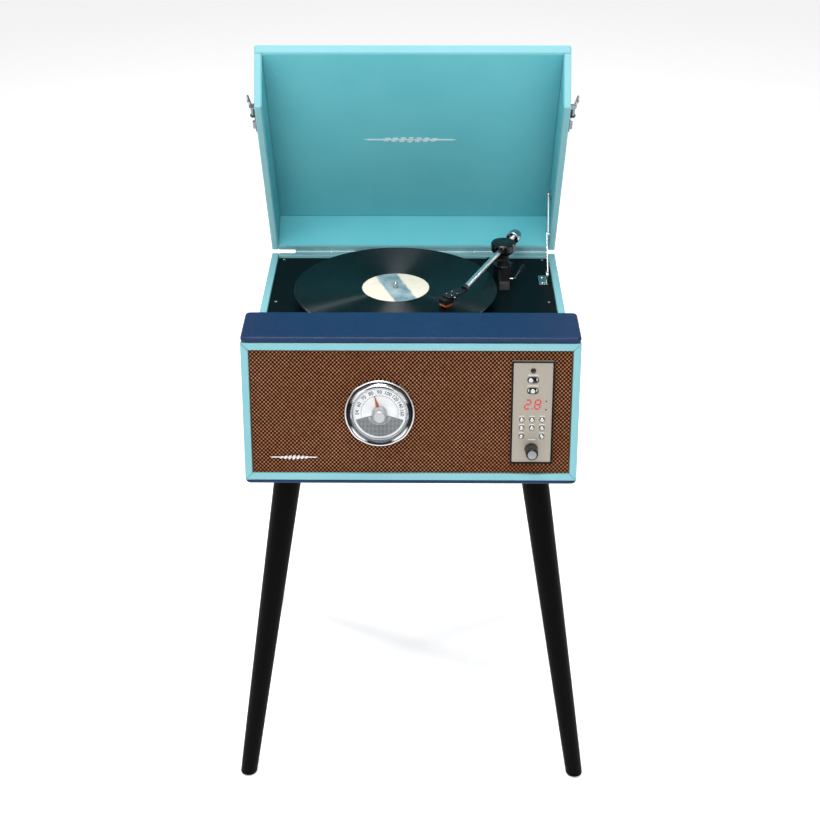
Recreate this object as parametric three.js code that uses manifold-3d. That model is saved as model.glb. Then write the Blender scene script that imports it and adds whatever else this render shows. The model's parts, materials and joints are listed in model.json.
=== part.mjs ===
// Suitcase record player on four splayed legs: a box cabinet with a tilted cloth front, a sunken deck
// with a belt-driven platter and a tonearm, and a suitcase lid that opens on a rear hinge.
// Millimetres, +Z up, +X to the right seen from the front, +Y to the back.
// The origin is on the floor, under the middle of the whole object's box.
import * as THREE from "three";
import { mergeVertices } from "three/addons/utils/BufferGeometryUtils.js";
import Module from "manifold-3d";

const wasm = await Module();
wasm.setup();

// ---------------------------------------------------------------- driving dimensions
// Cabinet frame: origin at the middle of the front face's bottom edge.
const CABINET_LIFT = 541; // front face's bottom edge above the floor
const MID_DEPTH = 267; // from that edge back to the middle of the object's box
const GAP = 0.3; // between pieces that touch
const WIDTH = 450;
const DEPTH = 484; // front bottom edge to the rear face
const WALL = 11;
const FACE_TILT = THREE.MathUtils.degToRad(8.5); // the front leans back at the top
const FACE_LENGTH = 196; // up the slanted front
const FRAME_WIDTH = 10;
const FRAME_DEPTH = 12;
const BOTTOM_BOARD = 5;
const TOP_BOARD = 8;
const STRIP_DEPTH = 80; // front top board, front to back
const RIM_DROP = 75; // cabinet rim below the front top board
const SLOPE_RUN = 53; // front to back over the slope between them
const DECK_DROP = 4; // deck face below the rim
const DECK_THICKNESS = 3;
const CLOTH_RECESS = 3.5; // grille cloth behind the frame's face

const LID_OPEN = THREE.MathUtils.degToRad(62); // how far the lid stands open at rest
const LID_WALL = 10;
const RIM_GAP = 2.4; // between the cabinet's rim and the closed lid's rim
const HINGE_SETBACK = 2.3; // hinge axis behind the rear face
const HINGE_LEFT = -188;
const HINGE_RIGHT = 212;
const BARREL_R = 1.9;
const LEAF = 0.7;

const SPINDLE = new THREE.Vector2(-25, 315);
const RECORD_R = 151;
const RECORD_THICKNESS = 1.5;
const RECORD_ABOVE_RIM = 17.3; // playing surface over the rim
const PLATTER_R = 140;
const PLATTER_TOP = 4.4;
const PLATTER_SKIRT = 7;
const DRIVE_RING_R = 60;
const SHAFT_R = 3.6;
const PULLEY_R = 6;
const PULLEY_OFFSET = 95; // motor shaft from the spindle
const PULLEY_BEARING = THREE.MathUtils.degToRad(215); // direction of the motor from the spindle

const ARM_PIVOT = new THREE.Vector2(139, 412);
const ARM_ABOVE_RIM = 40; // tonearm's lift axis over the rim
const ARM_YAW = THREE.MathUtils.degToRad(24.5); // the arm stands this far in over the record
const ARM_SLOPE = THREE.MathUtils.degToRad(2.3); // the tube falls towards its headshell
const ARM_LENGTH = 193.5; // pivot to stylus
const TUBE_R = 4;
const TUBE_LENGTH = 152; // pivot to the tube's front end
const SHELL_ANGLE = THREE.MathUtils.degToRad(23); // headshell's offset to the tube
const HOUSING_R = 19;
const LIFT_BAR_R = 34; // lift bar's distance from the pivot

const DIAL = new THREE.Vector2(-41.6, 98); // on the front face: across, and up the slant
const DIAL_R = 47;
const DIAL_FACE_R = 36.2;
const POINTER_ANGLE = THREE.MathUtils.degToRad(15); // left of upright at rest
const PANEL_X = 162.3; // middle of the control panel
const PANEL_UP = 99;
const PANEL_WIDTH = 56.5;
const PANEL_LENGTH = 145.6;
const BUTTON_COLUMNS = [-13.6, 0, 13.6];
const BUTTON_ROWS = [89.2, 77.3, 65.4];
const BUTTON_R = 3.4;
const SWITCHES = [
  { name: "mode_switch_upper", up: 145.6, rest: -3 },
  { name: "mode_switch_lower", up: 130.4, rest: 0 },
];
const VOLUME_UP = 47;
const VOLUME_REACH = 23; // the volume knob stands this far out of the front

const FOOT = new THREE.Vector2(250.5, 222); // foot from the cabinet's middle, on the floor
const LEG_TOP = new THREE.Vector2(169, 162); // the same under the bottom board
const LEG_TOP_R = 20;
const LEG_FOOT_R = 12.8;

const STAY_X = 208; // plane between the stay's two links
const STAY_FOOT = new THREE.Vector2(386, 133); // lower pivot: back, up
const STAY_HEAD = new THREE.Vector2(104, 30); // upper pivot in the lid: forward of and above the hinge axis
const STAY_LOWER = 69; // between pivots
const STAY_UPPER = 61;
const STAY_PLATE = 1.6;

const LATCH_FORWARD = 281; // latch forward of the rear face
const LATCH_PIVOT_UP = 32; // over the lid's rim
const LATCH_PIVOT_OUT = 7; // out of the lid's side
const LATCH_TILT = THREE.MathUtils.degToRad(20);

// ---------------------------------------------------------------- sizes that follow
const FACE_TOP_Y = FACE_LENGTH * Math.sin(FACE_TILT);
const FACE_TOP_Z = FACE_LENGTH * Math.cos(FACE_TILT);
const TOP_Z = FACE_TOP_Z + TOP_BOARD;
const STRIP_REAR = FACE_TOP_Y + STRIP_DEPTH;
const RIM_Z = TOP_Z - RIM_DROP;
const SLOPE_FOOT_Y = STRIP_REAR + SLOPE_RUN;
const DECK_Z = RIM_Z - DECK_DROP;
const HALF = WIDTH / 2;
const HINGE_Y = DEPTH + HINGE_SETBACK;
const HINGE_Z = RIM_Z + RIM_GAP / 2;
const RECORD_Z = RIM_Z + RECORD_ABOVE_RIM;
const ARM_Z = RIM_Z + ARM_ABOVE_RIM;
const yAtSlope = (z) => STRIP_REAR + ((TOP_Z - z) * SLOPE_RUN) / RIM_DROP;

// ---------------------------------------------------------------- materials
const finish = (color, roughness, metalness = 0) => ({ color, roughness, metalness });
const VINYL_BLUE = finish(0x7fc8d0, 0.5);
const NAVY = finish(0x1b3f66, 0.5);
const BLACK_PAINT = finish(0x101214, 0.4);
const DECK_BLACK = finish(0x06191c, 0.5);
const CHROME = finish(0xd8dadc, 0.12, 1);
const SATIN_METAL = finish(0xb9bcbf, 0.35, 1);
const BROWN_CLOTH = finish(0x6b3f22, 0.9);
const CHAMPAGNE = finish(0xb9a995, 0.4, 0.6);
const BOARD = finish(0x8a6a48, 0.8);
const BLACK_PLASTIC = finish(0x0b0c0d, 0.35);
const VINYL_RECORD = finish(0x050708, 0.2);
const DIAL_SILVER = finish(0xd0d2d4, 0.35, 0.3);
const ORANGE = finish(0xb4571f, 0.5);
const GREEN_BOARD = finish(0x1d5b36, 0.6);
const RUBBER = finish(0x161616, 0.8);

// ---------------------------------------------------------------- helpers
const round = { big: 44, medium: 28, small: 16 };

// A geometry as a manifold solid, with its shared vertices merged.
function solid(geometry) {
  const bare = new THREE.BufferGeometry().setAttribute("position", geometry.getAttribute("position"));
  if (geometry.index) bare.setIndex(geometry.index);
  const merged = mergeVertices(bare, 1e-3);
  const mesh = new wasm.Mesh({
    numProp: 3,
    vertProperties: merged.attributes.position.array,
    triVerts: new Uint32Array(merged.index.array),
  });
  return new wasm.Manifold(mesh);
}

function geometryOf(made) {
  const mesh = made.getMesh();
  const position = new Float32Array(mesh.numVert * 3);
  for (let i = 0; i < mesh.numVert; i++) {
    position.set(mesh.vertProperties.subarray(i * mesh.numProp, i * mesh.numProp + 3), i * 3);
  }
  return new THREE.BufferGeometry()
    .setAttribute("position", new THREE.BufferAttribute(position, 3))
    .setIndex(new THREE.BufferAttribute(mesh.triVerts, 1));
}

const join = (first, ...others) => geometryOf(others.reduce((sum, g) => sum.add(solid(g)), solid(first)));
const cut = (first, ...others) => geometryOf(others.reduce((rest, g) => rest.subtract(solid(g)), solid(first)));

// A box from its lowest and highest corners.
function block(x0, x1, y0, y1, z0, z1) {
  return new THREE.BoxGeometry(x1 - x0, y1 - y0, z1 - z0).translate((x0 + x1) / 2, (y0 + y1) / 2, (z0 + z1) / 2);
}

// A cylinder along +Z from z0 to z1.
function rod(r, z0, z1, x = 0, y = 0, sides = round.small) {
  return new THREE.CylinderGeometry(r, r, z1 - z0, sides).rotateX(Math.PI / 2).translate(x, y, (z0 + z1) / 2);
}

// A cylinder along X, and one along Y.
const rodX = (r, x0, x1, y, z, sides = round.small) => rod(r, x0, x1, 0, 0, sides).rotateY(Math.PI / 2).translate(0, y, z);
const rodY = (r, y0, y1, x, z, sides = round.small) => rod(r, -y1, -y0, 0, 0, sides).rotateX(Math.PI / 2).translate(x, 0, z);

// A closed profile of [radius, height] points turned about +Z.
function turned(profile, sides) {
  const points = profile.map(([r, z]) => new THREE.Vector2(r, z));
  return new THREE.LatheGeometry(points, sides).rotateX(Math.PI / 2);
}

// An outline of [back, up] points in the YZ plane, carried from x0 to x1.
function profileX(points, x0, x1) {
  const outline = new THREE.Shape(points.map(([y, z]) => new THREE.Vector2(y, z)));
  const basis = new THREE.Matrix4().makeBasis(
    new THREE.Vector3(0, 1, 0),
    new THREE.Vector3(0, 0, 1),
    new THREE.Vector3(1, 0, 0),
  );
  return new THREE.ExtrudeGeometry(outline, { depth: x1 - x0, bevelEnabled: false })
    .applyMatrix4(basis)
    .translate(x0, 0, 0);
}

// A rectangle with rounded corners, as a shape about its middle.
function roundedShape(width, height, r) {
  const [w, h] = [width / 2, height / 2];
  const s = new THREE.Shape();
  s.moveTo(-w + r, -h);
  s.lineTo(w - r, -h).absarc(w - r, -h + r, r, -Math.PI / 2, 0);
  s.lineTo(w, h - r).absarc(w - r, h - r, r, 0, Math.PI / 2);
  s.lineTo(-w + r, h).absarc(-w + r, h - r, r, Math.PI / 2, Math.PI);
  s.lineTo(-w, -h + r).absarc(-w + r, -h + r, r, Math.PI, 1.5 * Math.PI);
  return s;
}

const plate = (shape, thickness, curveSegments = 6) =>
  new THREE.ExtrudeGeometry(shape, { depth: thickness, bevelEnabled: false, curveSegments });

// A flat piece drawn across and up the front face, from depth y0 to y1 behind it.
const facePlate = (shape, y0, y1, curveSegments) =>
  plate(shape, y1 - y0, curveSegments).rotateX(Math.PI / 2).translate(0, y1, 0);

function add(parent, name, geometry, look) {
  const mesh = new THREE.Mesh(geometry, new THREE.MeshStandardMaterial(look));
  mesh.name = name;
  parent.add(mesh);
  return mesh;
}

// ---------------------------------------------------------------- cabinet
function cabinet(parent) {
  const front = (FRAME_DEPTH + GAP) / Math.cos(FACE_TILT); // walls start behind the tilted frame
  const wallTop = FACE_TOP_Z - GAP;
  const side = [
    [front, GAP],
    [DEPTH, GAP],
    [DEPTH, RIM_Z],
    [SLOPE_FOOT_Y, RIM_Z],
    [yAtSlope(wallTop), wallTop],
    [front + wallTop * Math.tan(FACE_TILT), wallTop],
  ];
  add(parent, "side_wall_left", profileX(side, -HALF, -HALF + WALL), VINYL_BLUE);
  add(parent, "side_wall_right", profileX(side, HALF - WALL, HALF), VINYL_BLUE);

  const inner = HALF - WALL - GAP;
  add(parent, "rear_panel", block(-inner, inner, DEPTH - WALL, DEPTH, GAP, RIM_Z), VINYL_BLUE);

  const base = plate(roundedShape(WIDTH, DEPTH, 8), BOTTOM_BOARD).translate(0, DEPTH / 2, -BOTTOM_BOARD);
  add(parent, "bottom_board", base, NAVY);

  const strip = plate(roundedShape(WIDTH, STRIP_DEPTH, 7), TOP_BOARD);
  add(parent, "front_top_board", strip.translate(0, (FACE_TOP_Y + STRIP_REAR) / 2, FACE_TOP_Z), NAVY);

  // The slope between the top board and the deck, 8 thick, its face on the walls' own slope.
  const high = FACE_TOP_Z - 2 * GAP;
  const low = DECK_Z + GAP;
  const [dy, dz] = [6.6, 4.7];
  const slope = [
    [yAtSlope(high), high],
    [yAtSlope(high) - dy, high - dz],
    [yAtSlope(low) - dy, low - dz],
    [yAtSlope(low), low],
  ];
  add(parent, "slope_panel", profileX(slope, -inner, inner), BLACK_PAINT);
}

function deck(parent) {
  const inner = HALF - WALL - GAP;
  const front = yAtSlope(DECK_Z) + 2 * GAP;
  const sheet = block(-inner, inner, front, DEPTH - WALL - GAP, DECK_Z - DECK_THICKNESS, DECK_Z);
  const [lowest, highest] = [DECK_Z - DECK_THICKNESS - 1, DECK_Z + 1];
  const motor = pulleyPlace();
  const plateWithHoles = cut(
    sheet,
    rod(SHAFT_R + 1, lowest, highest, SPINDLE.x, SPINDLE.y),
    rod(PULLEY_R + 2, lowest, highest, motor.x, motor.y),
  );
  add(parent, "deck_plate", plateWithHoles, DECK_BLACK);
}

// ---------------------------------------------------------------- front face
function frontFace(parent) {
  const face = new THREE.Group();
  face.rotation.x = -FACE_TILT;
  parent.add(face);
  const middle = FACE_LENGTH / 2;
  const openWidth = WIDTH - 2 * FRAME_WIDTH;
  const openLength = FACE_LENGTH - 2 * FRAME_WIDTH;

  const belowBoard = block(-HALF - 1, HALF + 1, -50, 50, -20, GAP).rotateX(FACE_TILT);
  const rim = cut(
    block(-HALF, HALF, 0, FRAME_DEPTH, 0, FACE_LENGTH - GAP),
    block(-openWidth / 2, openWidth / 2, -1, FRAME_DEPTH + 1, FRAME_WIDTH, FACE_LENGTH - FRAME_WIDTH),
    belowBoard,
  );
  add(face, "front_frame", rim, VINYL_BLUE);

  const clothBack = CLOTH_RECESS + 0.8;
  const sheet = (y0, y1) =>
    block(-openWidth / 2 + GAP, openWidth / 2 - GAP, y0, y1, FRAME_WIDTH + GAP, FRAME_WIDTH + openLength - GAP);
  const holes = [
    rodY(DIAL_FACE_R + 2, 0, 20, DIAL.x, DIAL.y, round.medium),
    block(PANEL_X - 25, PANEL_X + 25, 0, 20, PANEL_UP - 69, PANEL_UP + 69),
  ];
  const soundHoles = SPEAKERS.map(({ x }) => rodY(38, 0, 20, x, middle, round.medium));
  add(face, "grille_cloth", cut(sheet(CLOTH_RECESS, clothBack), ...holes), BROWN_CLOTH);
  add(face, "front_baffle", cut(sheet(clothBack + GAP, FRAME_DEPTH), ...holes, ...soundHoles), BOARD);

  for (const { name, x } of SPEAKERS) {
    // Flange, open cone, basket and magnet, turned about the speaker's axis.
    const profile = [[0, 16], [12, 17], [36, 1], [40, 0], [45, 0], [45, 3], [40, 5], [27, 22], [27, 38], [0, 38]];
    const speaker = turned(profile, 28).rotateX(-Math.PI / 2).translate(x, FRAME_DEPTH + GAP, middle);
    add(face, name, speaker, BLACK_PAINT);
  }
  dial(face);
  controls(face);
}

const SPEAKERS = [
  { name: "speaker_left", x: -145 },
  { name: "speaker_right", x: 60 },
];

function dial(face) {
  const back = CLOTH_RECESS - GAP;
  const at = (geometry) => geometry.rotateX(Math.PI / 2).translate(DIAL.x, 0, DIAL.y); // +Z of the profile comes forward
  const ring = [
    [DIAL_FACE_R + 0.5, -back],
    [DIAL_R - 1, -back],
    [DIAL_R, 1],
    [DIAL_R - 1.5, 6],
    [DIAL_R - 5, 9],
    [DIAL_R - 7.5, 8],
    [DIAL_FACE_R + 0.5, 3],
    [DIAL_FACE_R + 0.5, -back],
  ];
  add(face, "dial_bezel", at(turned(ring, round.big)), CHROME);
  add(face, "dial_face", at(cut(rod(DIAL_FACE_R, -1, 1, 0, 0, 48), rod(3.4, -2, 2))), DIAL_SILVER);

  const hub = cut(rod(5.5, 1.4, 2.4), rod(3.3, 1, 3));
  const blade = new THREE.Shape([[-2.2, 4.6], [2.2, 4.6], [0.5, 26], [-0.5, 26]].map(([x, y]) => new THREE.Vector2(x, y)));
  const needle = join(hub, plate(blade, 1).translate(0, 0, 1.4)).rotateZ(POINTER_ANGLE);
  add(face, "dial_pointer", at(needle), ORANGE);

  const knob = [[0, -12], [2.9, -12], [2.9, 2.8], [10.2, 2.8], [10.2, 6.5], [7.6, 8], [7.3, 15.5], [6.2, 17], [0, 17]];
  add(face, "tuning_knob", at(turned(knob, round.medium)), SATIN_METAL);
}

function controls(face) {
  const back = CLOTH_RECESS - GAP;
  const outline = roundedShape(PANEL_WIDTH, PANEL_LENGTH, 1.5);
  const panel = facePlate(outline, -0.6, back, 3).translate(PANEL_X, 0, PANEL_UP);
  const slot = (up) => facePlate(roundedShape(13.4, 6.8, 3.3), -2, back + 1, 4).translate(PANEL_X, 0, up);
  const buttons = [];
  BUTTON_ROWS.forEach((up, row) =>
    BUTTON_COLUMNS.forEach((across, column) => {
      const absent = row === 2 && column === 1; // the last row has no middle button
      if (!absent) buttons.push({ x: PANEL_X + across, up });
    }),
  );
  const openings = [
    ...SWITCHES.map(({ up }) => slot(up)),
    ...buttons.map(({ x, up }) => rodY(BUTTON_R + 0.4, -2, back + 1, x, up, 14)),
    rodY(3.4, -2, back + 1, PANEL_X, VOLUME_UP),
    rodY(1.75, -2, back + 1, PANEL_X, 158.7, 12),
  ];
  add(face, "control_plate", cut(panel, ...openings), CHAMPAGNE);

  buttons.forEach(({ x, up }, i) => {
    const cap = turned([[0, -7], [BUTTON_R, -7], [BUTTON_R, 1.9], [BUTTON_R - 0.7, 2.5], [0, 2.7]], 14);
    add(face, `push_button_${i + 1}`, cap.rotateX(Math.PI / 2).translate(x, 0, up), CHROME);
  });
  for (const { name, up, rest } of SWITCHES) {
    const cap = turned([[0, -6], [2.6, -6], [2.6, 1], [3.1, 1], [2.6, 2.6], [1.4, 3.3], [0, 3.5]], 16);
    add(face, name, cap.rotateX(Math.PI / 2).translate(PANEL_X + rest, 0, up), CHROME);
  }

  const knob = [[0, -9], [3, -9], [3, 1], [9, 1], [8.6, VOLUME_REACH - 2], [7.2, VOLUME_REACH], [0, VOLUME_REACH]];
  const volume = turned(knob, round.medium).rotateX(Math.PI / 2).translate(PANEL_X, 0, VOLUME_UP);
  add(face, "volume_knob", volume, CHROME);
  add(face, "main_board", block(PANEL_X - 32, PANEL_X + 32, 16, 17.6, 22, 172), GREEN_BOARD);
}

// ---------------------------------------------------------------- platter and drive
function pulleyPlace() {
  const turn = new THREE.Vector2(Math.cos(PULLEY_BEARING), Math.sin(PULLEY_BEARING));
  return SPINDLE.clone().addScaledVector(turn, PULLEY_OFFSET);
}

function platterAndDrive(parent) {
  const top = RECORD_Z - RECORD_THICKNESS - GAP;
  const under = top - PLATTER_TOP;
  const skirt = DECK_Z + 4;
  const profile = [
    [0, DECK_Z - 26],
    [SHAFT_R, DECK_Z - 26],
    [SHAFT_R, under],
    [DRIVE_RING_R - 4, under],
    [DRIVE_RING_R - 4, skirt],
    [DRIVE_RING_R, skirt],
    [DRIVE_RING_R, under],
    [PLATTER_R - PLATTER_SKIRT, under],
    [PLATTER_R - PLATTER_SKIRT, skirt],
    [PLATTER_R - 1, skirt],
    [PLATTER_R, skirt + 2],
    [PLATTER_R, top - 1],
    [PLATTER_R - 1, top],
    [SHAFT_R, top],
    [SHAFT_R, RECORD_Z + 6],
    [SHAFT_R - 1.6, RECORD_Z + 9],
    [0, RECORD_Z + 9.6],
  ];
  add(parent, "platter", turned(profile, round.big).translate(SPINDLE.x, SPINDLE.y, 0), BLACK_PAINT);

  const disc = [[4, 0], [RECORD_R - 0.6, 0], [RECORD_R, 0.4], [RECORD_R, 1.1], [RECORD_R - 0.6, 1.5], [4, 1.5], [4, 0]];
  const record = turned(disc, 60).translate(SPINDLE.x, SPINDLE.y, RECORD_Z - RECORD_THICKNESS);
  add(parent, "record", record, VINYL_RECORD);

  const motor = pulleyPlace();
  const wheel = [[0, -8], [1.5, -8], [1.5, 3], [PULLEY_R, 3], [PULLEY_R, 12], [0, 12]];
  add(parent, "motor_pulley", turned(wheel, round.small).translate(motor.x, motor.y, DECK_Z), SATIN_METAL);
  const can = [[0, -42], [17, -42], [18, -41], [18, -11], [6, -11], [6, -9], [0, -9]];
  add(parent, "drive_motor", turned(can, 28).translate(motor.x, motor.y, DECK_Z), SATIN_METAL);

  // The belt lies flat round the platter's inner ring and the pulley.
  const loop = (extra) => beltOutline(DRIVE_RING_R + extra, PULLEY_R + extra);
  const outline = new THREE.Shape(loop(1.3));
  outline.holes.push(new THREE.Path(loop(0.4)));
  const belt = plate(outline, 5).rotateZ(PULLEY_BEARING);
  add(parent, "drive_belt", belt.translate(SPINDLE.x, SPINDLE.y, DECK_Z + 5), RUBBER);
}

// Points round two circles, the small one PULLEY_OFFSET along +X, with straight runs between them.
function beltOutline(big, small) {
  const lean = Math.acos((big - small) / PULLEY_OFFSET);
  const points = [];
  const arc = (x, r, from, to, steps) => {
    for (let i = 0; i <= steps; i++) {
      const a = from + ((to - from) * i) / steps;
      points.push(new THREE.Vector2(x + r * Math.cos(a), r * Math.sin(a)));
    }
  };
  arc(0, big, lean, 2 * Math.PI - lean, 40);
  arc(PULLEY_OFFSET, small, -lean, lean, 10);
  return points;
}

// ---------------------------------------------------------------- tonearm
function tonearm(parent) {
  const [px, py] = [ARM_PIVOT.x, ARM_PIVOT.y];
  const foot = DECK_Z + GAP;
  const blockTop = DECK_Z + 14;
  const housingLow = ARM_Z - 8.5;
  const barTop = ARM_Z - LIFT_BAR_R * Math.tan(ARM_SLOPE) - TUBE_R - 0.5;

  const restTop = ARM_Z - 54 * Math.tan(ARM_SLOPE) - TUBE_R - 0.6;
  const stemX = px;
  const stemY = py - LIFT_BAR_R;
  const pedestal = join(
    block(px - 8, px + 8, 350, py, foot, blockTop),
    rod(15, foot, blockTop, px, py, round.medium),
    rod(9, blockTop - 1, housingLow - GAP, px, py, 24),
    block(px - 4, px + 8, 353, 359, blockTop - 1, restTop),
    block(px + 4.8, px + 8, 353, 359, restTop - 1, restTop + 7),
    rodX(1.3, px + 7, px + 12, 371, blockTop - 3.5, 12),
  );
  const stemHole = rod(2.8, foot + 3, blockTop + 1, stemX, stemY, 16);
  add(parent, "tonearm_base", cut(pedestal, stemHole), BLACK_PLASTIC);

  // The cue lever turns on the stub at the pedestal's right side.
  const [leverX, leverY, leverZ] = [px + 12.5, 371, blockTop - 3.5];
  const shaft = rod(1.6, 0, 29, 0, 0, 12);
  const tip = rod(2.3, 22, 30, 0, 0, 12);
  const aim = new THREE.Quaternion().setFromUnitVectors(
    new THREE.Vector3(0, 0, 1),
    new THREE.Vector3(14, 21, 13).normalize(),
  );
  const handle = join(shaft, tip).applyQuaternion(aim);
  const lever = join(rodX(3, 0, 4, 0, 0, 16), handle.translate(2, 0, 0)).translate(leverX, leverY, leverZ);
  add(parent, "cue_lever", lever, BLACK_PLASTIC);

  // The lift bar is an arc about the pivot on a stem, just under the tube.
  const sweep = new THREE.Shape();
  const [from, to] = [-Math.PI / 2 - 0.82, -Math.PI / 2 + 0.1];
  sweep.absarc(0, 0, LIFT_BAR_R + 2, from, to, false);
  sweep.absarc(0, 0, LIFT_BAR_R - 2, to, from, true);
  const bar = plate(sweep, 2.4, 10).translate(px, py, barTop - 2.4);
  add(parent, "cue_lift_bar", join(bar, rod(2.2, foot + 4, barTop - 1, stemX, stemY, 14)), BLACK_PLASTIC);

  const yaw = new THREE.Group();
  yaw.position.set(px, py, ARM_Z);
  yaw.rotation.z = -ARM_YAW;
  parent.add(yaw);

  const housing = turned([[0, -8.2], [14, -8.2], [HOUSING_R, -3], [HOUSING_R, 8], [17, 10], [0, 10]], round.medium);
  add(yaw, "tonearm_gimbal", cut(housing, block(-6, 6, -25, 25, -6, 6.4)), BLACK_PLASTIC);

  const arm = new THREE.Group();
  arm.rotation.x = ARM_SLOPE;
  yaw.add(arm);
  add(arm, "tonearm_tube", rodY(TUBE_R, -TUBE_LENGTH, 36, 0, 0, 20), SATIN_METAL);
  const weight = turned([[0, 0], [9.5, 0], [10.5, 1], [10.5, 12], [9, 13.5], [9, 17], [0, 17]], 28);
  add(arm, "counterweight", weight.rotateX(-Math.PI / 2).translate(0, 36.3, 0), CHROME);

  // The headshell is level, turned in by its offset angle, and holds the cartridge over the groove.
  const shell = new THREE.Group();
  const neck = TUBE_LENGTH * Math.cos(ARM_SLOPE);
  const shellZ = -TUBE_LENGTH * Math.sin(ARM_SLOPE);
  shell.position.set(0, -neck, shellZ);
  shell.rotation.z = -SHELL_ANGLE;
  yaw.add(shell);
  const reach = ARM_LENGTH - neck;
  const needleDrop = RECORD_Z + 0.5 - ARM_Z - shellZ;
  const taper = new THREE.Shape([[-5, -1], [5, -1], [9, 14], [9, 34], [7, 38], [-7, 38], [-9, 34], [-9, 14]]
    .map(([x, y]) => new THREE.Vector2(x, y)));
  const top = plate(taper, 3.5).rotateZ(Math.PI).translate(0, -3.2, -1);
  const cartridge = block(-7.5, 7.5, -reach - 3, -reach + 15, -11.5, -0.8);
  const needle = block(-2.2, 2.2, -reach - 4.5, -reach + 8, -13.5, -11.2);
  const point = rod(0.7, needleDrop, -13, 0, -reach, 8);
  add(shell, "headshell", join(top, cartridge, needle, point), BLACK_PLASTIC);
}

// ---------------------------------------------------------------- lid
// Everything in the lid is drawn closed, about the hinge axis, and turned open as one group.
function lidGroup(parent) {
  const lid = new THREE.Group();
  lid.position.set(0, HINGE_Y, HINGE_Z);
  lid.rotation.x = -LID_OPEN;
  parent.add(lid);

  const rim = RIM_GAP / 2;
  const top = TOP_Z - HINGE_Z;
  const rear = -HINGE_SETBACK;
  const slopeGap = RIM_GAP * Math.hypot(1, SLOPE_RUN / RIM_DROP); // across the slope's gap, front to back
  const yFront = (z) => yAtSlope(z + HINGE_Z) - HINGE_Y + slopeGap;
  const under = top - LID_WALL;

  const panel = [[rear, top], [rear, under], [yFront(under), under], [yFront(top), top]];
  add(lid, "lid_panel", profileX(panel.reverse(), -HALF, HALF), VINYL_BLUE);
  const sideTop = under - GAP;
  const side = [[rear, rim], [rear, sideTop], [yFront(sideTop), sideTop], [yFront(rim), rim]];
  add(lid, "lid_side_left", profileX(side, -HALF, -HALF + LID_WALL), VINYL_BLUE);
  add(lid, "lid_side_right", profileX(side, HALF - LID_WALL, HALF), VINYL_BLUE);
  const inner = HALF - LID_WALL - GAP;
  add(lid, "lid_rear_wall", block(-inner, inner, rear - LID_WALL, rear, rim, sideTop), VINYL_BLUE);

  add(lid, "hinge_leaf_upper", hingeLeaf(0.2, 1), CHROME);
  add(parent, "hinge_leaf_lower", hingeLeaf(-0.2 - LEAF, 0).translate(0, HINGE_Y, HINGE_Z), CHROME);
  latch(lid, "left", -1, rim);
  latch(lid, "right", 1, rim);
  stay(parent, lid);
}

// One leaf of the long hinge, about its axis: a strip from height z0, and every second knuckle.
function hingeLeaf(z0, first) {
  const knuckles = 7;
  const length = (HINGE_RIGHT - HINGE_LEFT) / knuckles;
  const pieces = [];
  for (let i = first; i < knuckles; i += 2) {
    const x0 = HINGE_LEFT + i * length + GAP;
    const x1 = x0 + length - 2 * GAP;
    pieces.push(rodX(BARREL_R, x0, x1, 0, 0, 12));
    pieces.push(block(x0, x1, -BARREL_R - 1, 0, z0, z0 + LEAF));
  }
  return join(block(HINGE_LEFT, HINGE_RIGHT, -HINGE_SETBACK - 9, -BARREL_R - 0.3, z0, z0 + LEAF), ...pieces);
}

// A draw latch on one side of the lid: its base has two ears and a pin, and the lever is thrown up.
function latch(lid, name, sign, rim) {
  const group = new THREE.Group();
  group.position.set(sign * (HALF + GAP), DEPTH - LATCH_FORWARD - HINGE_Y, rim + LATCH_PIVOT_UP);
  group.rotation.z = sign < 0 ? Math.PI : 0; // drawn for the right side
  lid.add(group);
  const out = LATCH_PIVOT_OUT;
  const ear = (y0, y1) => join(block(0, out, y0, y1, -5, 5), rodY(5, y0, y1, out, 0, 14));
  const base = join(
    block(0, 1.5, -12, 12, -LATCH_PIVOT_UP + 2, 7),
    ear(-10, -8.4),
    ear(8.4, 10),
    rodY(1.5, -9, 9, out, 0, 12),
    block(1, 5, -7, 7, -LATCH_PIVOT_UP + 3, -LATCH_PIVOT_UP + 6.8),
  );
  add(group, `latch_base_${name}`, base, CHROME);

  const hub = cut(rodY(3.2, -7.8, 7.8, 0, 0, 16), rodY(1.9, -9, 9, 0, 0, 12));
  const strap = join(block(-1.1, 1.1, -7.8, 7.8, 2.3, 22), rodX(7.8, -1.1, 1.1, 0, 22, 20));
  const stud = rodX(2, 0.9, 2.8, 0, 22, 12);
  const lever = join(hub, strap, stud).rotateY(LATCH_TILT).translate(out, 0, 0);
  add(group, `latch_lever_${name}`, lever, CHROME);
}

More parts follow.
